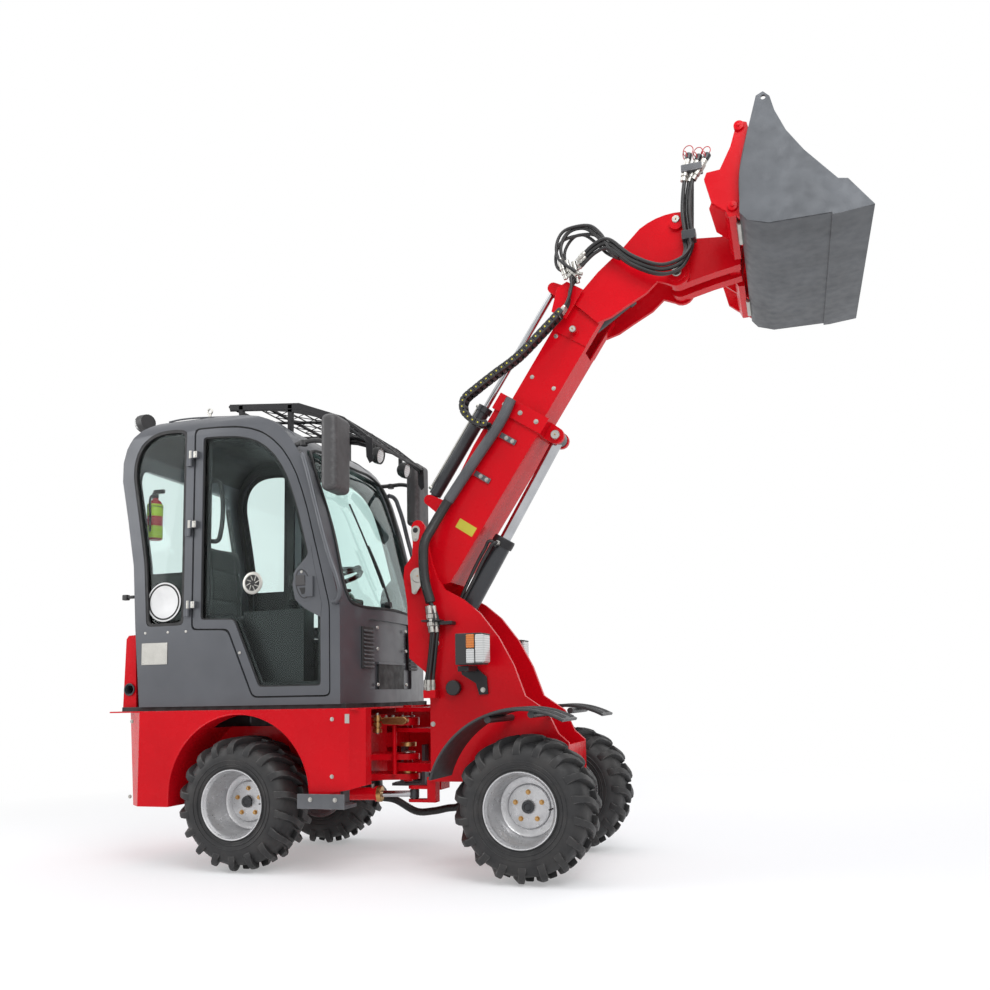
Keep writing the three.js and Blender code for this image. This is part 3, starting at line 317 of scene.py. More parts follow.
@dataclass(frozen=True)
class Moulded(Finish):
    """Moulded plastic or powder coat with a fine grain."""

    grain: float = 900.0
    relief: float = 0.18

    def shade(self, graph: Graph) -> None:
        """Add this finish's own detail."""
        body = self.clouded(graph, graph.noise(7, 4), 0.8)
        edge = graph.worn(graph.spread(graph.noise(50, 4), (0.4, 0.65), (0, 0.16)))
        graph.feed("Base Color", graph.mixed(edge, body, (0.22, 0.22, 0.22)))
        self.uneven(graph, graph.noise(30, 4), 0.85, 1.15)
        graph.bump(graph.cells(self.grain), self.relief, 0.0004)


@dataclass(frozen=True)
class Rubber(Finish):
    """Rubber with road dust in patches and a dull bloom."""

    dust: float = 0.3

    def shade(self, graph: Graph) -> None:
        """Add this finish's own detail."""
        bloom = graph.spread(graph.noise(11, 6), (0.42, 0.75), (0, self.dust))
        body = graph.mixed(bloom, self.colour, (0.16, 0.145, 0.13))
        edge = graph.worn(graph.spread(graph.noise(40, 4), (0.4, 0.6), (0, 0.45)))
        graph.feed("Base Color", graph.mixed(edge, body, (0.13, 0.125, 0.12)))
        self.uneven(graph, graph.noise(25, 5), 0.8, 1.2)
        graph.bump(graph.noise(260, 5), 0.16, 0.0009)


@dataclass(frozen=True)
class Metal(Finish):
    """Bare or plated metal with fine drawn marks."""

    stretch: Point = (1, 1, 12)
    marks: float = 0.05

    def shade(self, graph: Graph) -> None:
        """Add this finish's own detail."""
        graph.feed("Base Color", self.clouded(graph, graph.noise(12, 5), 0.82))
        self.uneven(graph, graph.noise(90, 5, self.stretch), 0.7, 1.5)
        graph.bump(graph.noise(180, 4, self.stretch), self.marks, 0.0005)


@dataclass(frozen=True)
class Glazing(Finish):
    """Tinted safety glass with a faint smear."""

    def shade(self, graph: Graph) -> None:
        """Add this finish's own detail."""
        graph.constant(Transmission_Weight=1.0, IOR=1.18, Specular_IOR_Level=0.35)
        broad = graph.spread(graph.noise(2.5, 3), (0.3, 0.7), (0, 1))
        graph.feed("Base Color", graph.mixed(broad, self.darker(0.97), self.colour))
        graph.feed("Roughness", graph.spread(graph.noise(6, 5), (0.45, 0.75), (0.0, self.roughness)))


@dataclass(frozen=True)
class Lens(Finish):
    """Ribbed lamp lens over a bright reflector."""

    def shade(self, graph: Graph) -> None:
        """Add this finish's own detail."""
        graph.constant(Transmission_Weight=0.25, IOR=1.49, Coat_Weight=0.6)
        ribs = graph.bands(28)
        graph.feed("Base Color", graph.mixed(ribs, self.darker(0.7), self.colour))
        self.uneven(graph, graph.noise(60, 3), 0.8, 1.3)
        graph.bump(ribs, 0.35, 0.0012)


@dataclass(frozen=True)
class Vinyl(Finish):
    """Seat vinyl with a pebbled grain."""

    def shade(self, graph: Graph) -> None:
        """Add this finish's own detail."""
        graph.constant(Sheen_Weight=0.15)
        graph.feed("Base Color", self.clouded(graph, graph.noise(6, 4), 0.8))
        self.uneven(graph, graph.noise(24, 4), 0.85, 1.15)
        under = graph.bump(graph.cells(420), 0.35, 0.0008)
        graph.bump(graph.noise(900, 2), 0.1, 0.0003, under)


RED = Paint("boom_red_enamel", "red_paint", (0.63, 0.003, 0.010), 0.26, coat=0.09, dust=0.006, gloss=0.10)
GREY = Paint("cab_grey_enamel", "grey_paint", (0.105, 0.110, 0.122), 0.36, 0.3, coat=0.25, rub=0.2)
BUCKET_GREY = WornSteel("bucket_grey_steel", "bucket_steel", (0.098, 0.105, 0.116), 0.40, 0.3,
                        stretch=(1, 1, 7))
STEP_ZINC = WornSteel("step_plate_steel", "step_steel", (0.14, 0.145, 0.155), 0.5, 0.5)
BLACK = Moulded("black_plastic_grain", "black_plastic", (0.020, 0.020, 0.021), 0.5)
MIRROR_GREY = Moulded("mirror_shell_grey", "black_plastic", (0.055, 0.053, 0.055), 0.5, grain=1400)
BLACK_STEEL = Paint("black_coated_steel", "black_steel", (0.024, 0.024, 0.026), 0.42, 0.2, coat=0.1, rub=0.35)
SEAL = Rubber("window_seal_rubber", "black_plastic", (0.010, 0.010, 0.011), 0.6, dust=0.05)
HOSE = Rubber("hose_cover_rubber", "rubber_hose", (0.014, 0.014, 0.015), 0.42, dust=0.06)
TYRE = Rubber("tyre_tread_rubber", "tyre_rubber", (0.014, 0.014, 0.015), 0.58, dust=0.13)
RIM = Metal("rim_silver_lacquer", "rim_steel", (0.62, 0.62, 0.63), 0.34, 0.75, stretch=(1, 1, 1), marks=0.06)
ZINC = Metal("zinc_plated_steel", "step_steel", (0.50, 0.49, 0.46), 0.34, 1.0)
CHROME = Metal("chrome_rod_steel", "chrome_rod", (0.50, 0.51, 0.53), 0.12, 1.0, marks=0.015)
BARREL = Paint("cylinder_dark_enamel", "grey_paint", (0.045, 0.048, 0.053), 0.34, 0.3, coat=0.3, rub=0.3)
BRONZE = Metal("gland_bronze", "chrome_rod", (0.55, 0.33, 0.13), 0.33, 1.0)
ENGINE = WornSteel("engine_cast_iron", "engine_metal", (0.075, 0.075, 0.078), 0.55, 0.6, stretch=(1, 1, 1))
GLASS = Glazing("green_tinted_glass", "tinted_glass", (0.82, 0.91, 0.895), 0.04)
SCREEN = Glazing("windscreen_tinted_glass", "tinted_glass", (0.66, 0.83, 0.80), 0.04)
MIRROR = Metal("mirror_silver", "chrome_rod", (0.86, 0.87, 0.88), 0.04, 1.0, marks=0.0)
AMBER = Lens("amber_lamp_lens", "tinted_glass", (0.85, 0.24, 0.02), 0.18)
CLEAR = Lens("clear_lamp_lens", "tinted_glass", (0.82, 0.83, 0.82), 0.16)
RUBY = Lens("red_lamp_lens", "tinted_glass", (0.60, 0.02, 0.02), 0.18)
SEAT = Vinyl("seat_black_vinyl", "seat_vinyl", (0.020, 0.020, 0.022), 0.55)
WHITE = Moulded("sign_white_plastic", "black_plastic", (0.80, 0.80, 0.80), 0.35, relief=0.03)
LIME = Moulded("extinguisher_lime_sleeve", "black_plastic", (0.55, 0.75, 0.03), 0.5, relief=0.08)
CAP_RED = Moulded("dust_cap_red", "red_paint", (0.55, 0.012, 0.02), 0.4, relief=0.06)
CAP_YELLOW = Moulded("chain_pin_yellow", "black_plastic", (0.62, 0.55, 0.05), 0.45, relief=0.06)
FENDER = Moulded("mudguard_black_plastic", "black_plastic", (0.030, 0.031, 0.033), 0.45, grain=500)


# --- shapes
def wear_layer(shape: Mesh) -> bmesh.types.BMLayerItem:
    """Layer that marks the worn crowns, made if it is missing."""
    return shape.verts.layers.float.get(WEAR) or shape.verts.layers.float.new(WEAR)


def softened(shape: Mesh, width: float, segments: int = 2,
             angle: float = SHARP) -> Mesh:
    """Round the sharp edges and mark their crowns as worn.

    Args:
        shape: Mesh to round.
        width: Offset in millimetres.
        segments: Steps across an edge.
        angle: Edges sharper than this are rounded.

    Returns:
        The same mesh.
    """
    layer = wear_layer(shape)
    sharp = [e for e in shape.edges if len(e.link_faces) == 2 and e.calc_face_angle(0.0) > angle]
    if not sharp or width <= 0:
        return shape
    made = bmesh.ops.bevel(shape, geom=sharp, offset=width / 1000, segments=segments, profile=0.5,
                           affect="EDGES", material=-1, clamp_overlap=True)
    fresh = set(made["faces"])
    for vert in made["verts"]:
        if vert.is_valid and all(face in fresh for face in vert.link_faces):
            vert[layer] = 1.0
    return shape


def turn_to(way: Vector) -> Matrix:
    """Rotation that takes +Z to a direction."""
    return UP.rotation_difference(way.normalized()).to_matrix().to_4x4()


def turned(profile: Sequence[Flat], foot: Point, way: Vector, steps: int = 48,
           soft: float = 0.0) -> Mesh:
    """Turn a profile about an axis.

    Args:
        profile: Distance along the axis and radius of each corner, ends on the axis for a solid.
        foot: Maker's point where the axis starts.
        way: Direction of the axis.
        steps: Sides of the round.
        soft: Rounding of its sharp edges.

    Returns:
        A closed mesh in scene metres.
    """
    shape = bmesh.new()
    line = [shape.verts.new((radius / 1000, 0, along / 1000)) for along, radius in profile]
    chain = [shape.edges.new(pair) for pair in zip(line, line[1:])]
    bmesh.ops.spin(shape, geom=line + chain, cent=(0, 0, 0), axis=(0, 0, 1), angle=math.tau,
                   steps=steps, use_merge=True)
    bmesh.ops.remove_doubles(shape, verts=shape.verts, dist=1e-6)
    bmesh.ops.recalc_face_normals(shape, faces=shape.faces)
    softened(shape, soft)
    bmesh.ops.transform(shape, matrix=Matrix.Translation(at(*foot)) @ turn_to(way), verts=shape.verts)
    return shape


def rod(start: Point, end: Point, radius: float, steps: int = 24, soft: float = 1.0) -> Mesh:
    """Round bar between two maker's points."""
    way = Vector(end) - Vector(start)
    return turned([(0, 0), (0, radius), (way.length, radius), (way.length, 0)], start, way, steps, soft)


def bush(start: float, end: float, inner: float, outer: float) -> list[Flat]:
    """Profile of a plain sleeve, for `turned`."""
    return [(start, inner), (start, outer), (end, outer), (end, inner), (start, inner)]


def ring(centre: Point, way: Vector, radius: float, thick: float, steps: int = 40,
         sides: int = 12) -> Mesh:
    """Round ring about an axis."""
    shape = bmesh.new()
    loop = bmesh.ops.create_circle(shape, segments=sides, radius=thick / 1000,
                                   matrix=Matrix.Translation((radius / 1000, 0, 0))
                                   @ Matrix.Rotation(math.pi / 2, 4, "X"))
    bmesh.ops.spin(shape, geom=loop["verts"] + shape.edges[:], cent=(0, 0, 0), axis=(0, 0, 1), angle=math.tau,
                   steps=steps, use_merge=True)
    bmesh.ops.remove_doubles(shape, verts=shape.verts, dist=1e-6)
    bmesh.ops.recalc_face_normals(shape, faces=shape.faces)
    bmesh.ops.transform(shape, matrix=Matrix.Translation(at(*centre)) @ turn_to(way), verts=shape.verts)
    return shape


def box(low: Point, high: Point, soft: float = 2.0, segments: int = 2,
        turn: Optional[Matrix] = None) -> Mesh:
    """Rounded block between two maker's corners, turned about its middle if asked."""
    shape = bmesh.new()
    bmesh.ops.create_cube(shape, size=1.0)
    low, high = Vector(low), Vector(high)
    middle, size = (low + high) / 2, (high - low) / 1000
    bmesh.ops.scale(shape, vec=size, verts=shape.verts)
    softened(shape, soft, segments)
    place = Matrix.Translation(at(*middle)) @ (turn or Matrix.Identity(4))
    bmesh.ops.transform(shape, matrix=place, verts=shape.verts)
    return shape


def plate(outline: Sequence[Point], thick: Vector, soft: float = 1.5, segments: int = 2) -> Mesh:
    """Plate from an outline of maker's points, thickened along a vector in millimetres."""
    shape = bmesh.new()
    face = shape.faces.new([shape.verts.new(at(*corner)) for corner in outline])
    grown = bmesh.ops.extrude_face_region(shape, geom=[face])
    moved = [v for v in grown["geom"] if isinstance(v, bmesh.types.BMVert)]
    bmesh.ops.translate(shape, verts=moved, vec=thick / 1000)
    bmesh.ops.recalc_face_normals(shape, faces=shape.faces)
    return softened(shape, soft, segments)


def side_plate(outline: Sequence[Flat], y: Flat, soft: float = 1.5, segments: int = 2) -> Mesh:
    """Plate with an outline seen from the side, between two y values."""
    return plate([(x, y[0], z) for x, z in outline], Vector((0, y[1] - y[0], 0)), soft, segments)


def curve_mesh(points: Sequence[Point], radius: float, sides: int = 12, cyclic: bool = False,
               smooth: bool = True) -> Mesh:
    """Round section carried along a smooth line through maker's points.

    Args:
        points: Points that the line passes through.
        radius: Radius of the section.
        sides: Sides of the section.
        cyclic: Whether the line closes on itself.
        smooth: Whether the line bends smoothly.

    Returns:
        A closed mesh in scene metres.
    """
    data = bpy.data.curves.new("route", "CURVE")
    data.dimensions = "3D"
    spline = data.splines.new("BEZIER")
    spline.bezier_points.add(len(points) - 1)
    for knot, point in zip(spline.bezier_points, points):
        knot.co = at(*point)
        knot.handle_left_type = knot.handle_right_type = "AUTO" if smooth else "VECTOR"
    spline.use_cyclic_u = cyclic
    data.resolution_u = 6 if smooth else 1
    data.bevel_depth = radius / 1000
    data.bevel_resolution = max(0, sides // 2 - 2)
    data.use_fill_caps = not cyclic
    thing = bpy.data.objects.new("route", data)
    mesh = thing.to_mesh()
    shape = bmesh.new()
    shape.from_mesh(mesh)
    thing.to_mesh_clear()
    bpy.data.objects.remove(thing)
    bpy.data.curves.remove(data)
    bmesh.ops.remove_doubles(shape, verts=shape.verts, dist=1e-6)
    bmesh.ops.recalc_face_normals(shape, faces=shape.faces)
    return shape


def bolt(head: Point, way: Vector, across: float = 13.0, height: float = 7.0,
         washer: bool = True) -> Mesh:
    """Hexagon bolt head on its washer, standing along a direction."""
    shape = turned([(0, 0), (0, across / 1.7), (height, across / 1.7), (height, 0)], head, way, 6, 0.8)
    if washer:
        wide = across * 0.85
        merge(shape, turned([(-0.5, 0), (-0.5, wide), (1.8, wide), (1.8, 0)], head, way, 20, 0.4))
    return shape


def bored(shape: Mesh, start: Point, end: Point, radius: float) -> Mesh:
    """Cut a round hole through a mesh.

    Args:
        shape: Mesh to cut, freed here.
        start: Maker's point where the drill enters.
        end: Maker's point where it leaves.
        radius: Radius of the hole.

    Returns:
        The cut mesh.
    """
    things = []
    for part in (shape, rod(start, end, radius, 28, 0)):
        data = bpy.data.meshes.new("cut")
        part.to_mesh(data)
        part.free()
        things.append(bpy.data.objects.new("cut", data))
        bpy.context.scene.collection.objects.link(things[-1])
    things[0].modifiers.new("cut", "BOOLEAN").object = things[1]
    bpy.context.view_layer.update()
    result = bmesh.new()
    result.from_mesh(things[0].evaluated_get(bpy.context.evaluated_depsgraph_get()).to_mesh())
    for thing in things:
        bpy.data.objects.remove(thing)
    return result


def merge(shape: Mesh, other: Mesh) -> Mesh:
    """Add a mesh to another and free it."""
    wear_layer(shape)
    wear_layer(other)
    data = bpy.data.meshes.new("held")
    other.to_mesh(data)
    other.free()
    shape.from_mesh(data)
    bpy.data.meshes.remove(data)
    return shape


def cad_shape(node: str, soft: float, segments: int = 2) -> Mesh:
    """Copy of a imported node, its flats made whole and its edges rounded.

    Args:
        node: Name of the node.
        soft: Rounding in millimetres.
        segments: Steps across a rounded edge.

    Returns:
        A mesh in scene metres.
    """
    shape = bmesh.new()
    shape.from_mesh(frame["nodes"][node].data)
    bmesh.ops.remove_doubles(shape, verts=shape.verts, dist=2e-6)
    bmesh.ops.dissolve_limit(shape, angle_limit=math.radians(0.6), verts=shape.verts, edges=shape.edges)
    return softened(shape, soft, segments)


class Piece:
    """One object being gathered from shapes, each in its own finish."""

    def __init__(self, name: str, body: str, finish: Finish) -> None:
        """Start a piece.

        Args:
            name: Name of the object.
            body: Body that it rides on.
            finish: Finish of the shapes that name none.
        """
        self.name, self.body, self.finish = name, body, finish
        self.nodes: Sequence[str] = ()
        self.shape = bmesh.new()
        self.finishes = [finish]

    def add(self, shape: Mesh, finish: Optional[Finish] = None) -> "Piece":
        """Take a shape in, with its finish.

        Args:
            shape: Mesh in scene metres, freed here.
            finish: Its finish, or the piece's own.

        Returns:
            The piece, so that calls can follow on.
        """
        finish = finish or self.finish
        if finish not in self.finishes:
            self.finishes.append(finish)
        for face in shape.faces:
            face.material_index = self.finishes.index(finish)
        merge(self.shape, shape)
        return self

    def close(self, replaces: Sequence[str] = (), weighted: bool = True,
              subdivide: int = 0, ride: bool = True) -> bpy.types.Object:
        """Write the object and hang it on its body.

        Args:
            replaces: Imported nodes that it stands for, if not the one it was copied from.
            weighted: Whether flats keep their own normals beside rounded edges.
            subdivide: Levels of subdivision.
            ride: Whether it rides on its body here.

        Returns:
            The object.
        """
        for edge in self.shape.edges:
            edge.smooth = len(edge.link_faces) != 2 or edge.calc_face_angle(0.0) <= SHARP
        for face in self.shape.faces:
            face.smooth = True
        data = bpy.data.meshes.new(self.name)
        self.shape.to_mesh(data)
        self.shape.free()
        for finish in self.finishes:
            data.materials.append(finish.material())
        thing = bpy.data.objects.new(self.name, data)
        bpy.context.scene.collection.objects.link(thing)
        if subdivide:
            levels = thing.modifiers.new("subdivision", "SUBSURF")
            levels.levels = levels.render_levels = subdivide
        if weighted:
            thing.modifiers.new("flats", "WEIGHTED_NORMAL").keep_sharp = True
        if ride:
            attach(thing, self.body)
        if replaces or self.nodes:
            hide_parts(*(replaces or self.nodes))
        LOG.info("%s: %d faces on %s", self.name, len(data.polygons), self.body)
        return thing


@dataclass
class Dressed:
    """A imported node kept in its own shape, with rounded edges and a full finish."""

    node: str
    finish: Finish
    soft: float = 2.0
    segments: int = 2

    def build(self) -> Piece:
        """Copy, round and finish the node."""
        piece = Piece(f"{self.node}_dressed", frame["nodes"][self.node]["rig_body"], self.finish)
        piece.nodes = [self.node]
        return piece.add(cad_shape(self.node, self.soft, self.segments))


# --- wheels
@dataclass
class Wheel:
    """Lugged tyre on a silver dished rim."""

    place: str
    lugs: int = 18
    bolts: int = 5
    bolt_circle: float = 66.0
    carcass: tuple[Flat, ...] = (
        (-118, 157), (-126, 160), (-132, 168), (-131, 176), (-136, 184), (-135, 190), (-142, 206),
        (-144, 232), (-138, 256), (-124, 278), (-98, 294), (-50, 302), (0, 304))
    lug_top: tuple[Flat, ...] = (
        (-10, 329), (45, 329), (88, 325), (118, 315), (137, 296), (145, 274), (144, 252))
    lug_foot: tuple[Flat, ...] = (
        (-10, 300), (45, 299), (86, 292), (108, 284), (124, 270), (134, 254), (139, 242))
    dish: tuple[Flat, ...] = (
        (-2, 0), (-2, 26), (-5, 30), (-12, 32), (-14, 96), (-18, 101), (-26, 104), (-27, 126), (-20, 136),
        (-6, 140), (52, 143), (60, 146), (88, 147), (96, 151), (116, 152), (124, 158), (134, 163), (139, 166),
        (140, 170), (136, 172), (128, 166), (118, 155), (0, 152), (-118, 155), (-128, 166), (-136, 172),
        (-140, 170), (-134, 163), (-117, 152), (-60, 150), (-38, 146), (-36, 112), (-36, 75), (-90, 75),
        (-90, 0))

    @property
    def centre(self) -> Point:
        """Maker's point at the wheel's middle."""
        low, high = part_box(f"{self.place}_tyre")
        middle = (low + high) / 2
        return ((middle.x - AXLE_X) * 1000, middle.y * 1000, middle.z * 1000)

    @property
    def out(self) -> Vector:
        """Direction away from the machine."""
        return LEFT if self.centre[1] > 0 else RIGHT

    def lug(self, side: int) -> Mesh:
        """One swept lug about +Z, from past the middle line round the shoulder."""
        shape = bmesh.new()
        bmesh.ops.create_cube(shape, size=2.0)
        runs = [e for e in shape.edges if abs(e.verts[0].co.x - e.verts[1].co.x) > 1]
        bmesh.ops.subdivide_edges(shape, edges=runs, cuts=len(self.lug_top) - 2, use_grid_fill=True)
        steps = len(self.lug_top) - 1
        for vert in shape.verts:
            station = round((vert.co.x + 1) / 2 * steps)
            along, radius = (self.lug_top if vert.co.z > 0 else self.lug_foot)[station]
            reach = self.lug_top[station][0] + max(0.0, station - 4) * 9
            width = (15 if vert.co.z > 0 else 21) + (4 if station == 0 else 0) + max(0, station - 3) * 2.5
            turn = (0.62 * reach - 0.0012 * reach * reach + vert.co.y * width) / 330
            vert.co = (radius * math.cos(turn) / 1000, side * radius * math.sin(turn) / 1000,
                       side * along / 1000)
        bmesh.ops.recalc_face_normals(shape, faces=shape.faces)
        return softened(shape, 4.5, 2, math.radians(50))

    def tyre(self) -> bpy.types.Object:
        """Carcass with a ring of lugs on each side of its middle."""
        name = f"{self.place}_lugged_tyre"
        piece = Piece(name, f"{self.place}_wheel", TYRE)
        loop = [*self.carcass, *[(-a, r) for a, r in reversed(self.carcass[:-1])], self.carcass[0]]
        piece.add(turned(loop, self.centre, self.out, 72))
        for radius, along in ((196.0, 139.5), (216.0, 143.8)):
            for side in (1, -1):
                offset = self.out * along * side
                piece.add(ring(Vector(self.centre) + offset, self.out, radius, 2.6, 72, 6))
        place = Matrix.Translation(at(*self.centre)) @ turn_to(self.out)
        for side in (1, -1):
            pattern = self.lug(side)
            for count in range(self.lugs):
                angle = math.tau * (count + (0.5 if side < 0 else 0.0)) / self.lugs
                copy = pattern.copy()
                bmesh.ops.transform(copy, matrix=place @ Matrix.Rotation(angle, 4, "Z"), verts=copy.verts)
                piece.add(copy)
            pattern.free()
        return piece.close([f"{self.place}_tyre"])

    def rim(self) -> bpy.types.Object:
        """Turned rim with its bolts, hub cap and valve."""
        piece = Piece(f"{self.place}_dished_rim", f"{self.place}_wheel", RIM)
        centre, out = Vector(self.centre), self.out
        piece.add(turned(self.dish, self.centre, out, 96, 0.8))
        across = out.cross(UP)
        for count in range(self.bolts):
            angle = math.tau * count / self.bolts + 0.3
            spot = centre + (across * math.cos(angle) + UP * math.sin(angle)) * self.bolt_circle
            piece.add(bolt(spot - out * 12.5, out, 14, 12), BRONZE)
        cap = [(-4, 0), (-4, 30), (8, 28), (8, 18), (3, 15), (3, 0)]
        piece.add(turned(cap, self.centre, out, 40, 1.0), BARREL)
        stem = centre - across * 128 + out * 40
        piece.add(rod(stem, stem + out * 42 + across * 6, 4, 10, 0.6), BLACK)
        return piece.close([f"{self.place}_rim"])

    def build(self) -> None:
        """Make the tyre and its rim."""
        self.tyre()
        self.rim()


# --- chassis
@dataclass
class RearChassis:
    """Rear frame, body, hood, engine, axle, steps and the steering cylinder."""

    arch: Point = (-1450, 0, 368)
    lip_radius: float = 402.0
    body_half: float = 555.0

    def body(self) -> None:
        """Red body with its rolled arch lips, top flange and fastenings."""
        piece = Dressed("rear_body", RED, 2.5).build()
        for y in (-self.body_half + 2, self.body_half - 2):
            arc = [(self.arch[0] + self.lip_radius * math.cos(math.radians(a)), y,
                    self.arch[2] + self.lip_radius * math.sin(math.radians(a))) for a in range(0, 181, 10)]
            piece.add(curve_mesh([(arc[0][0], y, 372), *arc[1:-1], (arc[-1][0], y, 312)], 4.5, 8))
        for side in (-1, 1):
            y = side * (self.body_half + 0.5)
            piece.add(box((-2222, min(y, y - side * 22), 784), (-790, max(y, y - side * 22), 791), 1.5))
            low, high = sorted((side * 497, side * 507))
            piece.add(box((-2185, low, 788), (-880, high, 812.5), 2), SEAL)
            for x, z in ((-930, 740), (-930, 470), (-2080, 740), (-2080, 360)):
                piece.add(bolt((x, y, z), LEFT * side, 12, 6), ZINC)
        piece.add(box((-2222, -555, 784), (-2190, 555, 791), 1.5))
        for x in (-2180, -890):
            piece.add(box((x - 5, -507, 788), (x + 5, 507, 812.5), 2), SEAL)
        piece.add(box((-862, -557.5, 720), (-838, -554, 764), 1), ZINC)
        piece.close()

    def frame(self) -> None:
        """Welded rear frame with its pins, tow eye, bronze spacers and link arm."""
        piece = Dressed("rear_frame", RED, 2.0).build()
        for z in (414, 546, 734):
            piece.add(turned([(0, 0), (0, 38), (5, 38), (8, 30), (8, 0)], (-780, 0, z), UP, 32, 1), ZINC)
        for x in (-1960, -1820, -1680, -1120):
            for y in (-213, 213):
                piece.add(bolt((x, y, 600), LEFT * y, 18, 10), ZINC)
        piece.add(rod((-2140, 0, 440), (-2140, 0, 590), 15, 24, 2), ZINC)
        piece.add(ring((-2140, 0, 596), LEFT, 18, 4, 24, 8), ZINC)
        for lift in (0, 30, 60):
            piece.add(turned([(0, 0), (0, 24), (20, 24), (22, 17), (30, 17), (30, 0)],
                             (-896, -130, 656 + lift),
                             UP, 32, 1), BRONZE)
        piece.add(rod((-896, -130, 650), (-896, -130, 758), 9, 20, 1), ZINC)
        arm = [(-858, 700), (-744, 697), (-726, 706), (-722, 718), (-726, 730), (-744, 738), (-858, 735),
               (-868, 718)]
        piece.add(side_plate(arm, (-148, -112), 4, 3), BRONZE)
        for x in (-846, -806, -750):
            piece.add(bolt((x, -130, 736), UP, 14, 10), ZINC)
        piece.add(rod((-812, -100, 440), (-812, -100, 700), 11, 20, 1))
        piece.close()

    def hood(self) -> None:
        """Rear hood with its grille slots, latch, lamps and exhaust collar."""
        piece = Dressed("engine_hood", RED, 5.0, 3).build()
        for row in range(7):
            z = 900 + row * 26
            piece.add(box((-2201, -250, z), (-2196, 250, z + 11), 1.5), BLACK)
        piece.add(box((-2206, -45, 1105), (-2190, 45, 1145), 3), BLACK)
        for y in (-400, 400):
            piece.add(box((-2207, y - 42, 1010), (-2192, y + 42, 1130), 5, 3), BLACK)
            piece.add(box((-2210, y - 36, 1070), (-2202, y + 36, 1124), 3), RUBY)
            piece.add(box((-2210, y - 36, 1016), (-2202, y + 36, 1066), 3), AMBER)
        piece.add(turned([(0, 22), (0, 31), (8, 33), (8, 26), (-60, 26), (-60, 22), (0, 22)],
                         (-2160, -480, 905), RIGHT, 40, 0.6), BARREL)
        piece.close()

    def engine(self) -> None:
        """Engine block with its rocker cover."""
        Dressed("engine_block", ENGINE, 8.0, 3).build().add(
            box((-1990, -120, 1060), (-1660, 120, 1088), 10, 3), BLACK).close()

    def steps(self) -> None:
        """Serrated steps under the doors."""
        for side, node in ((Side.LEFT, "step_left"), (Side.RIGHT, "step_right")):
            piece = Dressed(node, STEP_ZINC, 2.0).build()
            for row in range(11):
                x = -1078 + row * 21
                y = sorted((side.value * 478, side.value * 584))
                piece.add(box((x, y[0], 338), (x + 9, y[1], 344), 1.2))
            for x in (-1020, -890):
                piece.add(bolt((x, side.value * 600, 366), LEFT * side.value, 13, 6), ZINC)
            piece.close([node])

    def axles(self) -> None:
        """Both axles with their housings rounded and banded."""
        for node, x in (("rear_axle", -1472), ("front_axle", 0)):
            piece = Dressed(node, BLACK_STEEL, 3.0).build()
            for y in (-300, -130, 130, 300):
                piece.add(turned(bush(-8, 8, 52, 58), (x, y, 330), LEFT, 40, 1))
            piece.add(turned([(-70, 40), (-60, 74), (-30, 92), (30, 92), (60, 74), (70, 40), (-70, 40)],
                             (x, 0, 330), LEFT, 48, 2), ENGINE)
            piece.close([node])

    def steering(self) -> None:
        """Steering cylinder with its eye, gland, ports and bright rod."""
        start, end = Vector((-1130, -215, 350)), Vector((-680, -150, 350))
        way = (end - start).normalized()
        barrel = Dressed("steering_barrel", RED, 1.5).build()
        gland = [(0, 18), (0, 40.5), (22, 40.5), (24, 37), (24, 18), (0, 18)]
        barrel.add(turned(gland, start + way * 262, way, 40, 1), BRONZE)
        for reach in (60, 235):
            spot = start + way * reach + UP * 30
            barrel.add(rod(spot, spot + UP * 20, 9, 6, 1), ZINC)
        barrel.close()
        rod_piece = Piece("steering_rod_bright", "steering_rod", CHROME)
        rod_piece.add(rod(end - way * 290, end - way * 18, 16, 48, 1))
        rod_piece.add(rod(end - UP * 22, end + UP * 22, 24, 40, 2), BARREL)
        rod_piece.add(rod(end - UP * 26, end + UP * 26, 12, 24, 1.5), ZINC)
        rod_piece.close(["steering_rod"])

    def build(self) -> None:
        """Make everything on the rear chassis."""
        self.body()
        self.frame()
        self.hood()
        self.engine()
        self.steps()
        self.axles()
        self.steering()


# --- cab
def inset_outline(outline: Sequence[Flat], gap: float) -> list[Flat]:
    """Outline moved inwards by a gap, corner by corner.

    Args:
        outline: Corners in order round the shape.
        gap: Distance inwards in millimetres.

    Returns:
        The new corners.
    """
    points = [Vector(p) for p in outline]
    count = len(points)
    area = sum(points[i].x * points[(i + 1) % count].y - points[(i + 1) % count].x * points[i].y
               for i in range(count))
    turn = 1 if area > 0 else -1
    result = []
    for i, point in enumerate(points):
        before = (point - points[i - 1]).normalized()
        after = (points[(i + 1) % count] - point).normalized()
        normal = Vector((-before.y - after.y, before.x + after.x)) * turn
        length = max(0.35, normal.length / 2)
        moved = point + normal.normalized() * gap / length
        result.append((moved.x, moved.y))
    return result


def frame_band(outer: Sequence[Flat], inner: Sequence[Flat], y: Flat) -> Mesh:
    """Flat ring between two outlines with as many corners, seen from the side."""
    shape = bmesh.new()
    rings = [[shape.verts.new(at(x, y[0], z)) for x, z in outline] for outline in (outer, inner)]
    edges = [shape.edges.new(pair) for loop in rings for pair in zip(loop, loop[1:] + loop[:1])]
    faces = bmesh.ops.bridge_loops(shape, edges=edges)["faces"]
    grown = bmesh.ops.extrude_face_region(shape, geom=faces)
    moved = [v for v in grown["geom"] if isinstance(v, bmesh.types.BMVert)]
    bmesh.ops.translate(shape, verts=moved, vec=(0, (y[1] - y[0]) / 1000, 0))
    bmesh.ops.recalc_face_normals(shape, faces=shape.faces)
    return softened(shape, 1.0, 1, math.radians(60))


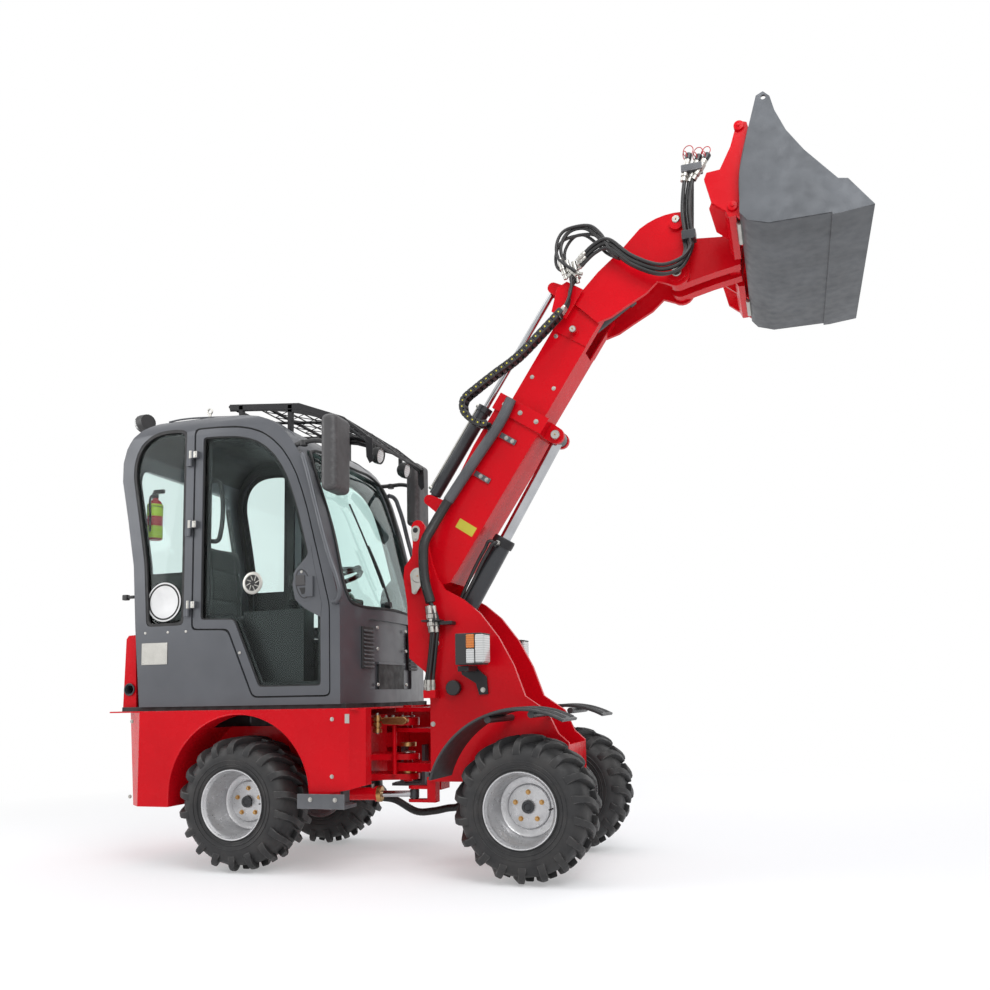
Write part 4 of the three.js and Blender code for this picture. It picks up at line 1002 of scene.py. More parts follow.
def rounded_outline(outline: Sequence[Flat], radius: float) -> list[Flat]:
    """Outline with its corners cut to smooth curves."""
    points, steps = [Vector(p) for p in outline], 4
    count, result = len(points), []
    for i, point in enumerate(points):
        before, after = points[i - 1] - point, points[(i + 1) % count] - point
        reach = min(radius, before.length * 0.45, after.length * 0.45)
        start, end = point + before.normalized() * reach, point + after.normalized() * reach
        for step in range(steps + 1):
            t = step / steps
            spot = start * (1 - t) ** 2 + point * 2 * t * (1 - t) + end * t * t
            result.append((spot.x, spot.y))
    return result


DOOR_OPENING: tuple[Flat, ...] = (
    (-1760, 1200), (-1545, 1192), (-1395, 848), (-958, 848), (-962, 1294), (-1020, 1524), (-1088, 1790),
    (-1118, 1885), (-1150, 1972), (-1190, 2048), (-1236, 2114), (-1292, 2168), (-1350, 2208), (-1420, 2236),
    (-1500, 2254), (-1620, 2264), (-1760, 2268))
QUARTER_OPENING: tuple[Flat, ...] = (
    (-2036, 1228), (-1806, 1228), (-1806, 2262), (-1900, 2272), (-1975, 2268), (-2035, 2250), (-2085, 2215),
    (-2118, 2165), (-2136, 2105), (-2138, 2030), (-2098, 1810), (-2056, 1560))


@dataclass
class Cab:
    """Grey cab shell with its glass, seals, louvres, plate, wiper and grab rails."""

    half: float = 520.0
    face_x: float = -905.0
    bulge: float = 45.0

    def front(self, y: float, z: float) -> float:
        """How far forward the cab's face stands at a height below the screen."""
        return self.face_x - 4 * (z - 811) / 483 + self.bulge * (1 - (y / self.half) ** 2)

    def shell(self) -> None:
        """Shell with window seals, rain gutters, plate, louvres and screws."""
        piece = Dressed("cab_shell", GREY, 6.0, 3).build()
        # Inward faces deep in the cab take the black finish: painted shade for the shadowed interior seen
        # through the glass.
        piece.finishes.append(BLACK)
        for face in piece.shape.faces:
            spot, way = face.calc_center_median(), face.normal
            inward = spot.y * way.y < -0.2 * abs(spot.y) or way.z * (spot.z - 1.5) < -0.35
            deep = abs(spot.y) < 0.499 and 0.86 < spot.z < 2.33 and AXLE_X - 2.17 < spot.x < AXLE_X - 0.93
            if inward and deep:
                face.material_index = 1
        quarter = rounded_outline(QUARTER_OPENING, 45)
        door = rounded_outline(DOOR_OPENING, 30)
        for side in (-1, 1):
            y = side * self.half
            piece.add(frame_band(inset_outline(quarter, -3), inset_outline(quarter, 15),
                                 (y - side * 16, y - side * 2)), SEAL)
            piece.add(frame_band(inset_outline(door, 0.5), inset_outline(door, 5.5),
                                 (y - side * 26, y - side * 9)), SEAL)
        plate = [(-2058, 1030), (-1900, 1030), (-1900, 1142), (-2058, 1142)]
        piece.add(side_plate(plate, (-self.half - 2.5, -self.half + 1), 0.6), ZINC)
        for x in (-2048, -1910):
            for z in (1040, 1132):
                piece.add(turned([(0, 0), (0, 4.5), (2, 3), (2.4, 0)], (x, -self.half - 2, z), RIGHT, 12),
                          ZINC)
        for x, z in ((-2040, 1195), (-1900, 1195), (-1790, 1195), (-1470, 1075)):
            for side in (-1, 1):
                piece.add(turned([(0, 0), (0, 8), (3, 6), (3.5, 0)], (x, side * (self.half - 1), z),
                                 LEFT * side, 16), ZINC)
        self.louvre(piece, -345, -225)
        self.louvre(piece, 225, 345)
        for y in (-180, 180):
            for z in (905, 1090, 1200):
                x = self.front(y, z)
                piece.add(turned([(-3, 0), (-3, 10), (3, 8), (4, 0)], (x + 1, y, z), FORWARD, 16), ZINC)
        for side in (-1, 1):
            gutter = [(-1985, 2353), (-1909, 2359), (-1718, 2350), (-1485, 2325), (-1393, 2305), (-1322, 2276),
                      (-1258, 2236), (-1210, 2190), (-1169, 2134), (-1130, 2067), (-1098, 1993), (-1037, 1802)]
            piece.add(curve_mesh([(x - 6, side * 428, z - 1 if x < -1200 else z - 2) for x, z in gutter], 5,
                                 8))
        piece.close()

    def louvre(self, piece: Piece, low: float, high: float) -> None:
        """Black slotted vent on the cab's face, its blades in lighter steel as painted highlight.

        Args:
            piece: Piece to add to.
            low: Its lower y.
            high: Its higher y.
        """
        x = self.front((low + high) / 2, 1090)
        piece.add(box((x - 6, low, 985), (x + 6, high, 1198), 3), BLACK)
        # Lighter steel on the blades of the black louvre: painted highlight.
        for row in range(10):
            z = 994 + row * 20
            tilt = Matrix.Rotation(math.radians(28), 4, "Y")
            piece.add(box((x + 1, low + 8, z), (x + 16, high - 8, z + 7), 1.5, turn=tilt), STEP_ZINC)

    def panes(self) -> None:
        """Windscreen and rear pane, and the quarter panes with their dark printed border."""
        for node, finish in (("windscreen", SCREEN), ("rear_window", GLASS)):
            Dressed(node, finish, 0.8, 1).build().close()
        for side, node in ((Side.LEFT, "quarter_glass_left"), (Side.RIGHT, "quarter_glass_right")):
            piece = Dressed(node, GLASS, 0.8, 1).build()
            outline = rounded_outline(QUARTER_OPENING, 45)
            y = side.value * 499.0
            piece.add(frame_band(inset_outline(outline, 3), inset_outline(outline, 30),
                                 (y - side.value * 1.5, y)), SEAL)
            piece.add(side_plate([(-2034, 1236), (-1812, 1236), (-1812, 1508), (-2052, 1508)],
                                 (y - side.value * 2, y), 0), SEAL)
            if side is Side.RIGHT:
                spot = (-1938, -505.5, 1356)
                piece.add(turned([(0, 0), (0, 103), (1.2, 103), (1.2, 0)], spot, RIGHT, 72, 0.3), WHITE)
                piece.add(turned(bush(1, 1.8, 86, 95), spot, RIGHT, 72), SEAL)
            piece.close([node])

    def front_panel(self) -> None:
        """Bolted service panel, with a dark block under the screen as painted shade in the pedal box opening.
        """
        piece = Dressed("front_panel", GREY, 2.5).build()
        x = self.front(0, 930)
        # Dark rubber block filling the pedal box opening: painted shade.
        piece.add(box((x - 16, -165, 842), (x - 5, 150, 1010), 4), SEAL)
        piece.add(box((x - 18, -177, 1010), (x - 2, 162, 1022), 3), GREY)
        piece.close()

    def screen_trim(self) -> None:
        """Black screen seal, wiper and wiper motor."""
        piece = Piece("screen_wiper", "rear_machine", BLACK)
        def on_screen(y: float, z: float, proud: float) -> Point:
            """Point on the screen's face."""
            stations = ((1294, -909), (1524, -968), (1798, -1037), (1989, -1098), (2063, -1130),
                        (2130, -1169))
            for (z0, x0), (z1, x1) in zip(stations, stations[1:]):
                if z <= z1:
                    x = x0 + (x1 - x0) * (z - z0) / (z1 - z0)
                    break
            return (x + self.bulge * (1 - (y / self.half) ** 2) + proud, y, z)
        arm = [on_screen(-40, 1330, 12), on_screen(-90, 1480, 22), on_screen(-150, 1640, 20)]
        piece.add(curve_mesh(arm, 6, 8))
        blade = [on_screen(-60, 1420, 6), on_screen(-130, 1620, 8), on_screen(-215, 1860, 6)]
        piece.add(curve_mesh(blade, 5, 8), SEAL)
        piece.add(rod(on_screen(-40, 1330, -14), on_screen(-40, 1330, 18), 17, 24, 2))
        edge = ((-432, 1330), (-432, 1700), (-432, 2060), (-400, 2108), (0, 2112), (400, 2108),
                (432, 2060), (432, 1700), (432, 1330), (400, 1308), (0, 1306), (-400, 1308))
        piece.add(curve_mesh([on_screen(y, z, 1) for y, z in edge], 8, 8, cyclic=True), SEAL)
        piece.close()

    def eye_bolt(self) -> None:
        """Lifting eye on the roof, and the grab rails."""
        piece = Piece("roof_eye", "rear_machine", ZINC)
        x, y = -1750, -405
        piece.add(rod((x, y, 2340), (x, y, 2376), 8, 20, 2))
        piece.add(ring((x, y, 2390), LEFT, 14, 4.5, 28, 10))
        piece.close()
        rails = Piece("grab_rails", "rear_machine", MIRROR_GREY)
        route = ((-1122, 508, 2062), (-1100, 545, 2052), (-1076, 556, 1996), (-1010, 560, 1760),
                 (-945, 560, 1537), (-896, 560, 1400), (-888, 556, 1345), (-908, 542, 1312),
                 (-948, 510, 1308))
        for s in (1, -1):
            rails.add(curve_mesh([(x, s * y, z) for x, y, z in route], 13, 14), GREY)
        rails.add(rod((-2196, -420, 1404), (-2246, -420, 1404), 9, 16, 1.5), BLACK)
        rails.add(box((-2268, -434, 1388), (-2236, -406, 1418), 5, 3), BLACK)
        rails.close()

    def build(self) -> None:
        """Make the cab."""
        self.shell()
        self.panes()
        self.front_panel()
        self.screen_trim()
        self.eye_bolt()


@dataclass
class Door:
    """Glazed door with its rail, printed border, pull, paddle handle, vent and hinges."""

    side: Side
    hinges: tuple[float, ...] = (1330, 1750, 2120)
    gap: float = 8.0
    rail: float = 46.0

    def build(self) -> None:
        """Make the frame and the glass."""
        name = self.side.name.lower()
        s = self.side.value
        frame_piece = Dressed(f"door_{name}", GREY, 4.0, 3).build()
        out = LEFT * s
        self.handle(frame_piece, s)
        for z in self.hinges:
            frame_piece.add(rod((-1770, s * 535, z - 19), (-1770, s * 535, z + 22), 9, 20, 1.5), ZINC)
            y = sorted((s * 536, s * 541))
            frame_piece.add(box((-1750, y[0], z - 17), (-1728, y[1], z + 17), 1.5), ZINC)
            for dz in (-9, 9):
                frame_piece.add(bolt((-1739, s * 540, z + dz), out, 7, 4, washer=False), ZINC)
        frame_piece.close([f"door_{name}"])
        glass = Dressed(f"door_glass_{name}", GLASS, 0.8, 1).build()
        window = rounded_outline(inset_outline(DOOR_OPENING, self.gap + self.rail), 24)
        y = s * 499.0
        glass.add(frame_band(inset_outline(window, -1), inset_outline(window, 24), (y - s * 1.5, y)), SEAL)
        glass.add(side_plate([(-1704, 1256), (-1662, 1256), (-1662, 2200), (-1704, 2208)],
                             tuple(sorted((y - s * 2, y))), 0), SEAL)
        glass.add(frame_band(inset_outline(window, -2), inset_outline(window, 7), (s * 505.5, s * 511)), SEAL)
        hub = (-1405, s * 505.3, 1427)
        vent = [(0, 40), (0, 56), (5, 58), (9, 52), (9, 42), (4, 40), (0, 40)]
        glass.add(turned(vent, hub, out, 48, 1), ZINC)
        glass.add(turned([(-6, 0), (-6, 41), (3, 41), (3, 0)], hub, out, 48, 1), SEAL)
        for count in range(8):
            angle = math.tau * count / 8
            foot = (hub[0] + 14 * math.cos(angle), s * 508, hub[2] + 14 * math.sin(angle))
            tip = (hub[0] + 38 * math.cos(angle + 0.3), s * 508, hub[2] + 38 * math.sin(angle + 0.3))
            glass.add(rod(foot, tip, 2.6, 8, 0), ZINC)
        pull = [(-1690, s * 470, 1985), (-1650, s * 462, 1985), (-1632, s * 462, 1955),
                (-1632, s * 462, 1700),
                (-1650, s * 462, 1668), (-1690, s * 470, 1668)]
        glass.add(curve_mesh(pull, 12, 12), MIRROR_GREY)
        for z in (1985, 1668):
            glass.add(rod((-1690, s * 468, z), (-1690, s * 499, z), 14, 20, 2), MIRROR_GREY)
        glass.close([f"door_glass_{name}"])

    def handle(self, piece: Piece, s: int) -> None:
        """Oval paddle handle in its dark escutcheon.

        Args:
            piece: The door's piece.
            s: +1 on the left, -1 on the right.
        """
        x, z = -1112, 1406
        def oval(wide: float, tall: float) -> list[Flat]:
            """Leaning oval about the handle's middle."""
            turns = [math.tau * k / 40 for k in range(40)]
            return [(x + wide * math.cos(a) - 0.14 * tall * math.sin(a),
                     z + tall * math.sin(a)) for a in turns]
        y = sorted((s * 486, s * 519))
        web = [(-1070, 1600), (-1092, 1545), (-1150, 1482), (-1172, 1407), (-1156, 1330), (-1104, 1284),
               (-1014, 1236), (-1008, 1300), (-1030, 1400), (-1056, 1520)]
        piece.add(side_plate(web, (y[0], y[1] - 2 if s > 0 else y[1]), 2, 2))
        piece.add(side_plate(oval(52, 92), (y[0] - 1.5, y[1] + 1.5), 4, 3))
        inner = oval(40, 74)
        piece.add(frame_band(inner, inset_outline(inner, 4), (s * 519, s * 522)), SEAL)
        paddle = [(x - 42, z + 44), (x + 10, z + 44), (x + 18, z - 8), (x - 36, z - 8)]
        piece.add(side_plate(paddle, sorted((s * 516, s * 526)), 3, 3), MIRROR_GREY)
        well = [(x - 22, z - 18), (x + 22, z - 18), (x + 10, z - 52), (x - 6, z - 54)]
        piece.add(side_plate(well, sorted((s * 517, s * 521)), 2), SEAL)
        piece.add(rod((x - 6, s * 518, z + 60), (x - 6, s * 524, z + 60), 7, 20, 1), ZINC)


# --- hoses
def sampled(points: Sequence[Point], each: int = 6) -> list[Point]:
    """Points close together on one smooth line through a few maker's points."""
    line = [Vector(p) for p in points]
    line = [line[0] * 2 - line[1], *line, line[-1] * 2 - line[-2]]
    result = []
    for i in range(1, len(line) - 2):
        a, b, c, d = line[i - 1:i + 3]
        for step in range(each):
            t = step / each
            result.append(tuple(0.5 * ((b * 2) + (c - a) * t + (a * 2 - b * 5 + c * 4 - d) * t * t
                                       + (b * 3 - a - c * 3 + d) * t ** 3)))
    return [*result, line[-2]]


def beside(points: Sequence[Point], shift: Point) -> list[Point]:
    """The same route moved aside."""
    return [Vector(p) + Vector(shift) for p in points]


@dataclass
class Hose:
    """Hydraulic hose with crimped ends, riding on a body, or fixed in place where it runs between two."""

    name: str
    route: Sequence[Point]
    radius: float
    body: str
    replaces: tuple[str, ...] = ()
    other: str = ""
    bend: tuple[Point, Point] = ((0, 0, 0), (0, 0, 0))
    corrugated: float = 0.0
    crimped: bool = True

    def build(self) -> bpy.types.Object:
        line = sampled(self.route)
        piece = Piece(self.name, self.body, HOSE)
        piece.add(curve_mesh(line, self.radius, 16, smooth=False))
        if self.corrugated:
            self.rings(piece, line)
        tube = piece.close(self.replaces, weighted=False, ride=not self.other)
        if self.other:
            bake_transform(tube)
        ends = [self.ends(line)] if self.crimped else []
        return tube

    def rings(self, piece: Piece, line: Sequence[Point], radius: float = 0.0) -> None:
        """Corrugations along the tube, or along a guard of another radius."""
        walked, due = 0.0, 4.0
        for a, b in zip(line, line[1:]):
            a, b = Vector(a), Vector(b)
            span = (b - a).length
            while due <= walked + span:
                spot = a.lerp(b, (due - walked) / span)
                piece.add(ring(spot, b - a, (radius or self.radius) - 0.8, 0.8 + self.corrugated, 20, 6))
                due += 7.5
            walked += span

    def ends(self, line: Sequence[Point]) -> bpy.types.Object:
        """Zinc sleeves and nuts where the hose is crimped."""
        piece = Piece(f"{self.name}_ends", self.body, ZINC)
        r, foot, way = self.radius, line[0], Vector(line[2]) - Vector(line[0])
        piece.add(turned([(-4, 0), (-4, r + 2), (0, r + 3.5), (9, r + 3.5), (11, r + 2.2), (13, r + 3.5),
                          (24, r + 3.5), (26, r + 2.2), (28, r + 3.2), (36, r + 1), (36, 0)], foot, way, 28))
        piece.add(turned([(-22, 0), (-22, r * 1.15), (-4, r * 1.15), (-4, 0)], foot, way, 6, 1))
        return piece.close()


@dataclass
class Hoses:
    """All free hoses of the loader."""

    def boom_route(self) -> list[Point]:
        """Line from the fittings on the tower, past the pivot, to the clamps on the boom."""
        return [(-554, -228, 871), (-554, -229, 910), (-545, -229, 980), (-530, -230, 1100),
                (-520, -234, 1221),
                (-545, -240, 1310), (-574, -242, 1420), (-583, -240, 1540), (-575, -236, 1625),
                (-540, -205, 1710), (-470, -172, 1840), (-356, -166, 1998), (-189, -166, 2219),
                (-121, -166, 2343)]

    def build(self) -> None:
        """Make the hoses."""
        route = self.boom_route()
        sleeve = Hose("boom_hose_sleeve", route[5:], 25, "front_machine", ("boom_hoses", "tower_hoses"),
                      "boom", ((-560, -240, 1330), (-583, -240, 1560)), corrugated=1.2, crimped=False)
        sleeve.build()
        for name, dx, dy, radius in (("feed", -20, 0, 10), ("return", 8, 2, 10), ("pilot", -4, -16, 8)):
            line = [*beside(route[:2], (dx * 1.2, dy, 0)), *beside(route[2:5], (dx, dy, 0)), route[5]]
            Hose(f"tower_{name}_hose", line, radius, "front_machine", crimped=False).build()
        guard = Piece("boom_sleeve_guard", "boom", STEP_ZINC)
        guard.add(curve_mesh(sampled(route[10:]), 27.5, 20, smooth=False))
        sleeve.rings(guard, sampled(route[10:]), 27.8)
        for s, low in ((604, -45), (840, -60)):
            band = [on_boom(s + ds, -126, t) for ds, t in ((-14, 112), (14, 112), (14, low), (-14, low))]
            guard.add(plate(band, Vector((0, -6, 0)), 1.5), STEP_ZINC)
            for t in (low + 20, low + 58):
                guard.add(bolt(on_boom(s, -132, t), RIGHT, 13, 7), ZINC)
        guard.close()
        cuffs = Piece("tower_hose_cuffs", "front_machine", ZINC)
        for x, y in ((-578, -228), (-544, -226), (-559, -244)):
            cuffs.add(turned([(-2, 0), (-2, 14), (16, 14), (18, 12), (22, 12), (24, 14), (52, 13), (54, 0)],
                             (x, y, 869), UP, 28))
            cuffs.add(turned([(0, 0), (0, 15), (18, 15), (18, 0)], (x, y, 884), UP, 6, 1))
        up = Vector((-0.12, 0, 1))
        for x, y in ((-548, -234), (-516, -236), (-532, -256)):
            for lift, radius, long in ((0, 13, 30), (32, 17, 20), (54, 12, 14), (70, 16, 22), (94, 14, 40)):
                foot = Vector((x, y, 1158)) + up * lift
                sides = 6 if radius > 15 else 28
                cuffs.add(turned([(0, 0), (0, radius), (long, radius), (long, 0)], foot, up, sides, 1.2))
        cuffs.add(box((-590, -264, 1212), (-488, -200, 1222), 3, 2), BLACK_STEEL)
        cuffs.add(box((-500, -244, 1196), (-430, -186, 1214), 4, 2), BLACK_STEEL)
        cuffs.close()
        Hose("articulation_hose_sleeve", [
            (-1011, 0, 399.5), (-1011, 0, 365), (-950, 0, 316), (-854, 0, 300), (-737, 0, 243),
            (-640, 0, 246), (-560, 0, 262), (-500, 0, 272), (-456, 0, 320), (-445, 0, 370), (-445, 0, 414.4)],
            17, "rear_machine", ("articulation_hose",), "front_machine", ((-860, 0, 300), (-700, 0, 250)),
            corrugated=2.5, crimped=False).build()
        head = [(262, -176, 3010), (340, -184, 3066), (416, -194, 3072), (527, -200, 2967), (661, -200, 2897),
                (760, -190, 2915), (806, -168, 2990), (806, -165, 3039)]
        Hose("head_hose_main", head, 11, "boom_extension", ("head_hoses",)).build()
        for i, (dx, dy, dz) in enumerate(((-6, 14, -20), (2, -14, 16), (-8, 16, 8), (4, 0, -24))):
            run = [*beside(head[:6], (dx, dy, dz)), *beside(head[6:], (dx * 3, dy, 0))]
            Hose(f"head_hose_{i + 2}", run, 8.5, "boom_extension", crimped=i < 2).build()
        for i, (x, y) in enumerate(((789, -174), (807, -160), (824, -174))):
            run = [(x, y, 3081), (x - 5, y, 3130), (x - 8, y, 3190), (x - 2, y, 3270),
                   (x + 8 + i * 3, y, 3345)]
            Hose(f"coupler_tail_{i + 1}", run, 10, "boom_extension", crimped=False).build()
        loops = ((0, 0, 0), (16, 20, 6), (-16, 36, -10), (6, -14, 20), (-30, 12, 30))
        for i, (lift, aside, push) in enumerate(loops):
            Hose(f"coupler_loop_{i + 1}", [
                (226 + 6 * i, -186 + aside, 2952), (180 - push, -188 + aside, 3020 + lift),
                (168 - push, -188 + aside, 3104 + lift), (214 - push, -188 + aside, 3172 + lift),
                (292 + push, -186 + aside, 3178 + lift), (356 + push, -184 + aside, 3122 + lift),
                (400 + push / 2, -182 + aside, 3056 + lift / 2), (462, -182 + aside / 2, 2998)], 8,
                "boom_extension", crimped=i % 2 == 0).build()
        for i, lane in enumerate((-184, -168, -152)):
            run = [on_boom(1522, lane, 68), on_boom(1580, lane, 66), on_boom(1650, lane, 84 + 8 * i),
                   (214 + 14 * i, lane, 2940)]
            Hose(f"chain_tail_{i + 1}", run, 8, "boom_extension").build()


# --- boom
@dataclass
class HoseChain:
    """Cable carrier of linked plastic frames with yellow pins."""

    route: tuple[Flat, ...] = (
        (1530, 70), (1410, 100), (1230, 150), (1090, 215), (985, 262), (905, 290), (852, 262), (832, 205),
        (836, 140), (860, 96))
    low: float = -198.0
    high: float = -137.0
    pitch: float = 33.0
    thick: float = 34.0

    def links(self) -> list[tuple[Vector, Vector]]:
        """Middle and direction of every link, in maker's millimetres."""
        line = [Vector(p) for p in sampled([on_boom(s, 0, t) for s, t in self.route], 24)]
        spots, walked, due = [], 0.0, self.pitch / 2
        for a, b in zip(line, line[1:]):
            span = (b - a).length
            while due <= walked + span:
                spots.append((a.lerp(b, (due - walked) / span), (b - a).normalized()))
                due += self.pitch
            walked += span
        return spots

    def build(self) -> bpy.types.Object:
        """Make every link."""
        piece = Piece("hose_carrier_chain", "boom", BLACK)
        half = self.thick / 2
        for spot, way in self.links():
            up = way.cross(LEFT).normalized()
            def shaped(corners: Sequence[Flat], y0: float, y1: float) -> Mesh:
                """Plate of the link between two y values."""
                points = [spot + way * a + up * b + LEFT * y0 for a, b in corners]
                return plate(points, Vector((0, y1 - y0, 0)), 2.0)
            cheek = [(-20, -half + 4), (-12, -half), (14, -half), (20, -half + 6), (20, half - 6), (14, half),
                     (-12, half), (-20, half - 4)]
            for y0, y1 in ((self.low, self.low + 8), (self.high - 8, self.high)):
                piece.add(shaped(cheek, y0, y1))
            for lift in (-half + 1, half - 6):
                bar = [(-9, lift), (9, lift), (9, lift + 5), (-9, lift + 5)]
                piece.add(shaped(bar, self.low + 6, self.high - 6))
            for y, face in ((self.low, -1), (self.high, 1)):
                foot = spot + LEFT * (y - face)
                piece.add(turned([(0, 0), (0, 5), (2.2, 4), (2.6, 0)], foot, LEFT * face, 14), CAP_YELLOW)
        for lane in (-181, -167, -153):
            run = [on_boom(s, lane, t) for s, t in self.route]
            piece.add(curve_mesh(run, 6, 8), HOSE)
        chain = piece.close(["hose_chain"], weighted=False, ride=False)
        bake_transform(chain)
        return chain


@dataclass
class Boom:
    """Outer and telescoping inner boom with pins, clamps, wear-pad bolts, pipes and cylinders."""

    outer_half: float = 122.0
    collar_half: float = 136.0
    lift_foot: Flat = (-545.7, 1107.0)

    def pin(self, piece: Piece, spot: Point, radius: float, plate_way: Optional[Flat] = None) -> None:
        """Pin end with a grease nipple on both sides, with a lock plate if asked.

        Args:
            piece: Piece to add to.
            spot: Maker's point of the pin's left end; the right end mirrors it.
            radius: Radius of the pin.
            plate_way: Direction in x and z of the lock plate's bolt.
        """
        x, y, z = spot
        for s in (1, -1):
            out = LEFT * s
            shaft = [(-14, 0), (-14, radius), (3, radius), (6, radius - 3), (6, 0)]
            piece.add(turned(shaft, (x, s * y, z), out, 36), ZINC)
            piece.add(rod((x, s * (y + 4), z), (x, s * (y + 13), z), 3.6, 10, 0.8), BRONZE)
            if plate_way:
                dx, dz = plate_way
                ahead = Vector((dx, 0, dz)).normalized()
                aside = Vector((-ahead.z, 0, ahead.x))
                outline = []
                for start, reach, wide in ((math.pi / 2, 0, radius + 10), (-math.pi / 2, radius + 46, 15)):
                    for k in range(13):
                        a = start + math.pi * k / 12
                        p = ahead * (reach + wide * math.cos(a)) + aside * wide * math.sin(a)
                        outline.append((x + p.x, s * (y - 3), z + p.z))
                piece.add(plate(outline, Vector((0, s * 6, 0)), 1.2), ZINC)
                tip = Vector((x, s * (y + 3), z)) + ahead * (radius + 46)
                piece.add(bolt(tip, out, 17, 9), ZINC)

    def outer(self) -> None:
        """Outer boom with its collar bolts, blank plate and lift pin."""
        piece = Dressed("boom_outer", RED, 3.0).build()
        for s in (1, -1):
            out = LEFT * s
            for t in (-100, 0, 100):
                piece.add(bolt(on_boom(985, s * (self.collar_half + 0.5), t), out, 15, 8), ZINC)
        for place in (955, 1015):
            for y in (-70, 70):
                piece.add(bolt(on_boom(place, y, 152), OVER_BOOM, 15, 8), ZINC)
        corners = ((312, -112), (364, -112), (364, -4), (312, -4))
        blank = [on_boom(s, -self.outer_half - 1.6, t) for s, t in corners]
        piece.add(plate(blank, Vector((0, 1.8, 0)), 0.4, 1), CAP_YELLOW)
        self.pin(piece, on_boom(980, 84, -205), 24)
        piece.close()

    def inner(self) -> None:
        """Inner boom with its gooseneck's pins and its wear-pad bolts."""
        piece = Dressed("boom_inner", RED, 3.0).build()
        self.pin(piece, (737, 147, 2895), 24)
        self.pin(piece, (744, 143, 3168), 19)
        self.pin(piece, on_boom(1480, 148, -19), 17)
        for s in (1, -1):
            out = LEFT * s
            for s_at, t in ((1180, 60), (1180, -76), (1420, 60)):
                piece.add(bolt(on_boom(s_at, s * 98.5, t), out, 13, 6), ZINC)
        piece.close()

    def coupler(self, piece: Piece, foot: Vector, way: Vector, scale: float) -> None:
        """Crimped hose end with its nut and quick coupler.

        Args:
            piece: Piece to add to.
            foot: Maker's point where the hose ends.
            way: Direction of the coupler.
            scale: Its thickness, 1 for a 32 mm one.
        """
        profile = ((0, 0), (0, 12), (16, 12), (17, 10), (24, 10), (25, 14), (44, 14), (46, 12), (50, 12),
                   (52, 16), (86, 16), (90, 13), (110, 13), (112, 0))
        piece.add(turned([(along, r * scale) for along, r in profile], foot, way, 28, 0.6))

    def fittings(self) -> None:
        """Coupler blocks and quick couplers on the boom's head."""
        piece = Piece("head_couplers", "boom_extension", ZINC)
        for i, (x, y) in enumerate(((783, -174), (805, -160), (826, -174))):
            lean = Vector((0.24 + 0.2 * i, 0, 1)).normalized()
            foot = Vector((x + 8 + 3 * i, y, 3338))
            self.coupler(piece, foot, lean, 1.25)
            cap = [(0, 0), (0, 17), (28, 17), (33, 12), (33, 0)]
            piece.add(turned(cap, foot + lean * 112, lean, 24, 1), BARREL)
            tip = foot + lean * 128
            piece.add(ring(tip + UP * 30, Vector((0.3, 1, 0.1)), 26 - i * 3, 2.2, 36, 8), CAP_RED)
            piece.add(ring(tip + Vector((-16, -6, 6)), Vector((0.8, 0.4, 0.3)), 20, 2.2, 32, 8), CAP_RED)
        piece.add(box((772, -188, 3036), (840, -124, 3082), 4, 3), BARREL)
        piece.add(box((784, -198, 3378), (886, -138, 3414), 4, 3), STEP_ZINC)
        strut = [(800, 3060), (828, 3060), (842, 3390), (814, 3390)]
        piece.add(side_plate(strut, (-148, -142), 1.5), BLACK_STEEL)
        for i, (x, z, lean) in enumerate(((186, 2950, -0.6), (214, 2938, -0.5), (243, 2930, -0.35))):
            way = Vector((lean * 0.4, -0.2, 1)).normalized()
            self.coupler(piece, Vector((x, -176 + 10 * i, z - 20)), way, 0.95)
        for y, thick, corners in ((-150, 8, ((-80, -30), (90, -30), (90, 70), (40, 100), (-80, 60))),
                                  (-142, 45, ((-70, -20), (80, -20), (80, 20), (-70, 20)))):
            outline = [on_boom(1590 + a, y, 70 + b) for a, b in corners]
            piece.add(plate(outline, LEFT * thick, 2), RED)
        piece.close()

    def cylinders(self) -> None:
        """Lift, tilt and extension cylinders, copied from their nodes with rounded edges, with glands, pipes
        and rods.
        """
        foot = Vector((self.lift_foot[0], 0, self.lift_foot[1]))
        end = Vector(on_boom(980, 0, -205))
        way = (end - foot).normalized()
        barrel = Dressed("lift_barrel", BARREL, 2.0).build()
        barrel.add(turned([(590, 37), (590, 57), (604, 58.5), (628, 58.5), (637, 54), (637, 38), (590, 37)],
                          foot, way, 64, 1), BLACK_STEEL)
        barrel.add(turned([(60, 48), (60, 57.5), (72, 57.5), (74, 50), (74, 48), (60, 48)], foot, way, 64))
        out = RIGHT
        for reach in (92, 600):
            port = foot + way * reach + out * 46
            barrel.add(rod(port, port + out * 26, 12, 20, 1.5), ZINC)
            barrel.add(turned([(0, 0), (0, 12), (14, 12), (14, 0)], port + out * 22, out, 6, 1), ZINC)
        back = way.cross(out)
        for shift in (0, 22):
            pipe = [foot + way * (600 - shift) + out * 72, foot + way * 590 + out * 88 - back * (12 + shift),
                    foot + way * 540 + out * 74 - back * (24 + shift),
                    foot + way * 330 + out * 52 - back * (26 + shift),
                    foot + way * 120 + out * 56 - back * 26]
            barrel.add(curve_mesh(pipe, 9, 12), HOSE)
        barrel.close()
        rod_piece = Dressed("lift_rod", CHROME, 1.0).build()
        rod_piece.add(turned(bush(-34, 34, 22, 37), end, LEFT, 48, 1.5), BARREL)
        rod_piece.close()
        for node, finish, soft in (("tilt_barrel", BARREL, 2.0), ("tilt_rod", CHROME, 1.0),
                                   ("extension_barrel", BARREL, 2.0), ("extension_rod", CHROME, 1.0)):
            piece = Dressed(node, finish, soft).build()
            if node == "extension_barrel":
                piece.add(curve_mesh([on_boom(s, -40, 267) for s in (420, 450, 760, 920)], 6, 10), ZINC)
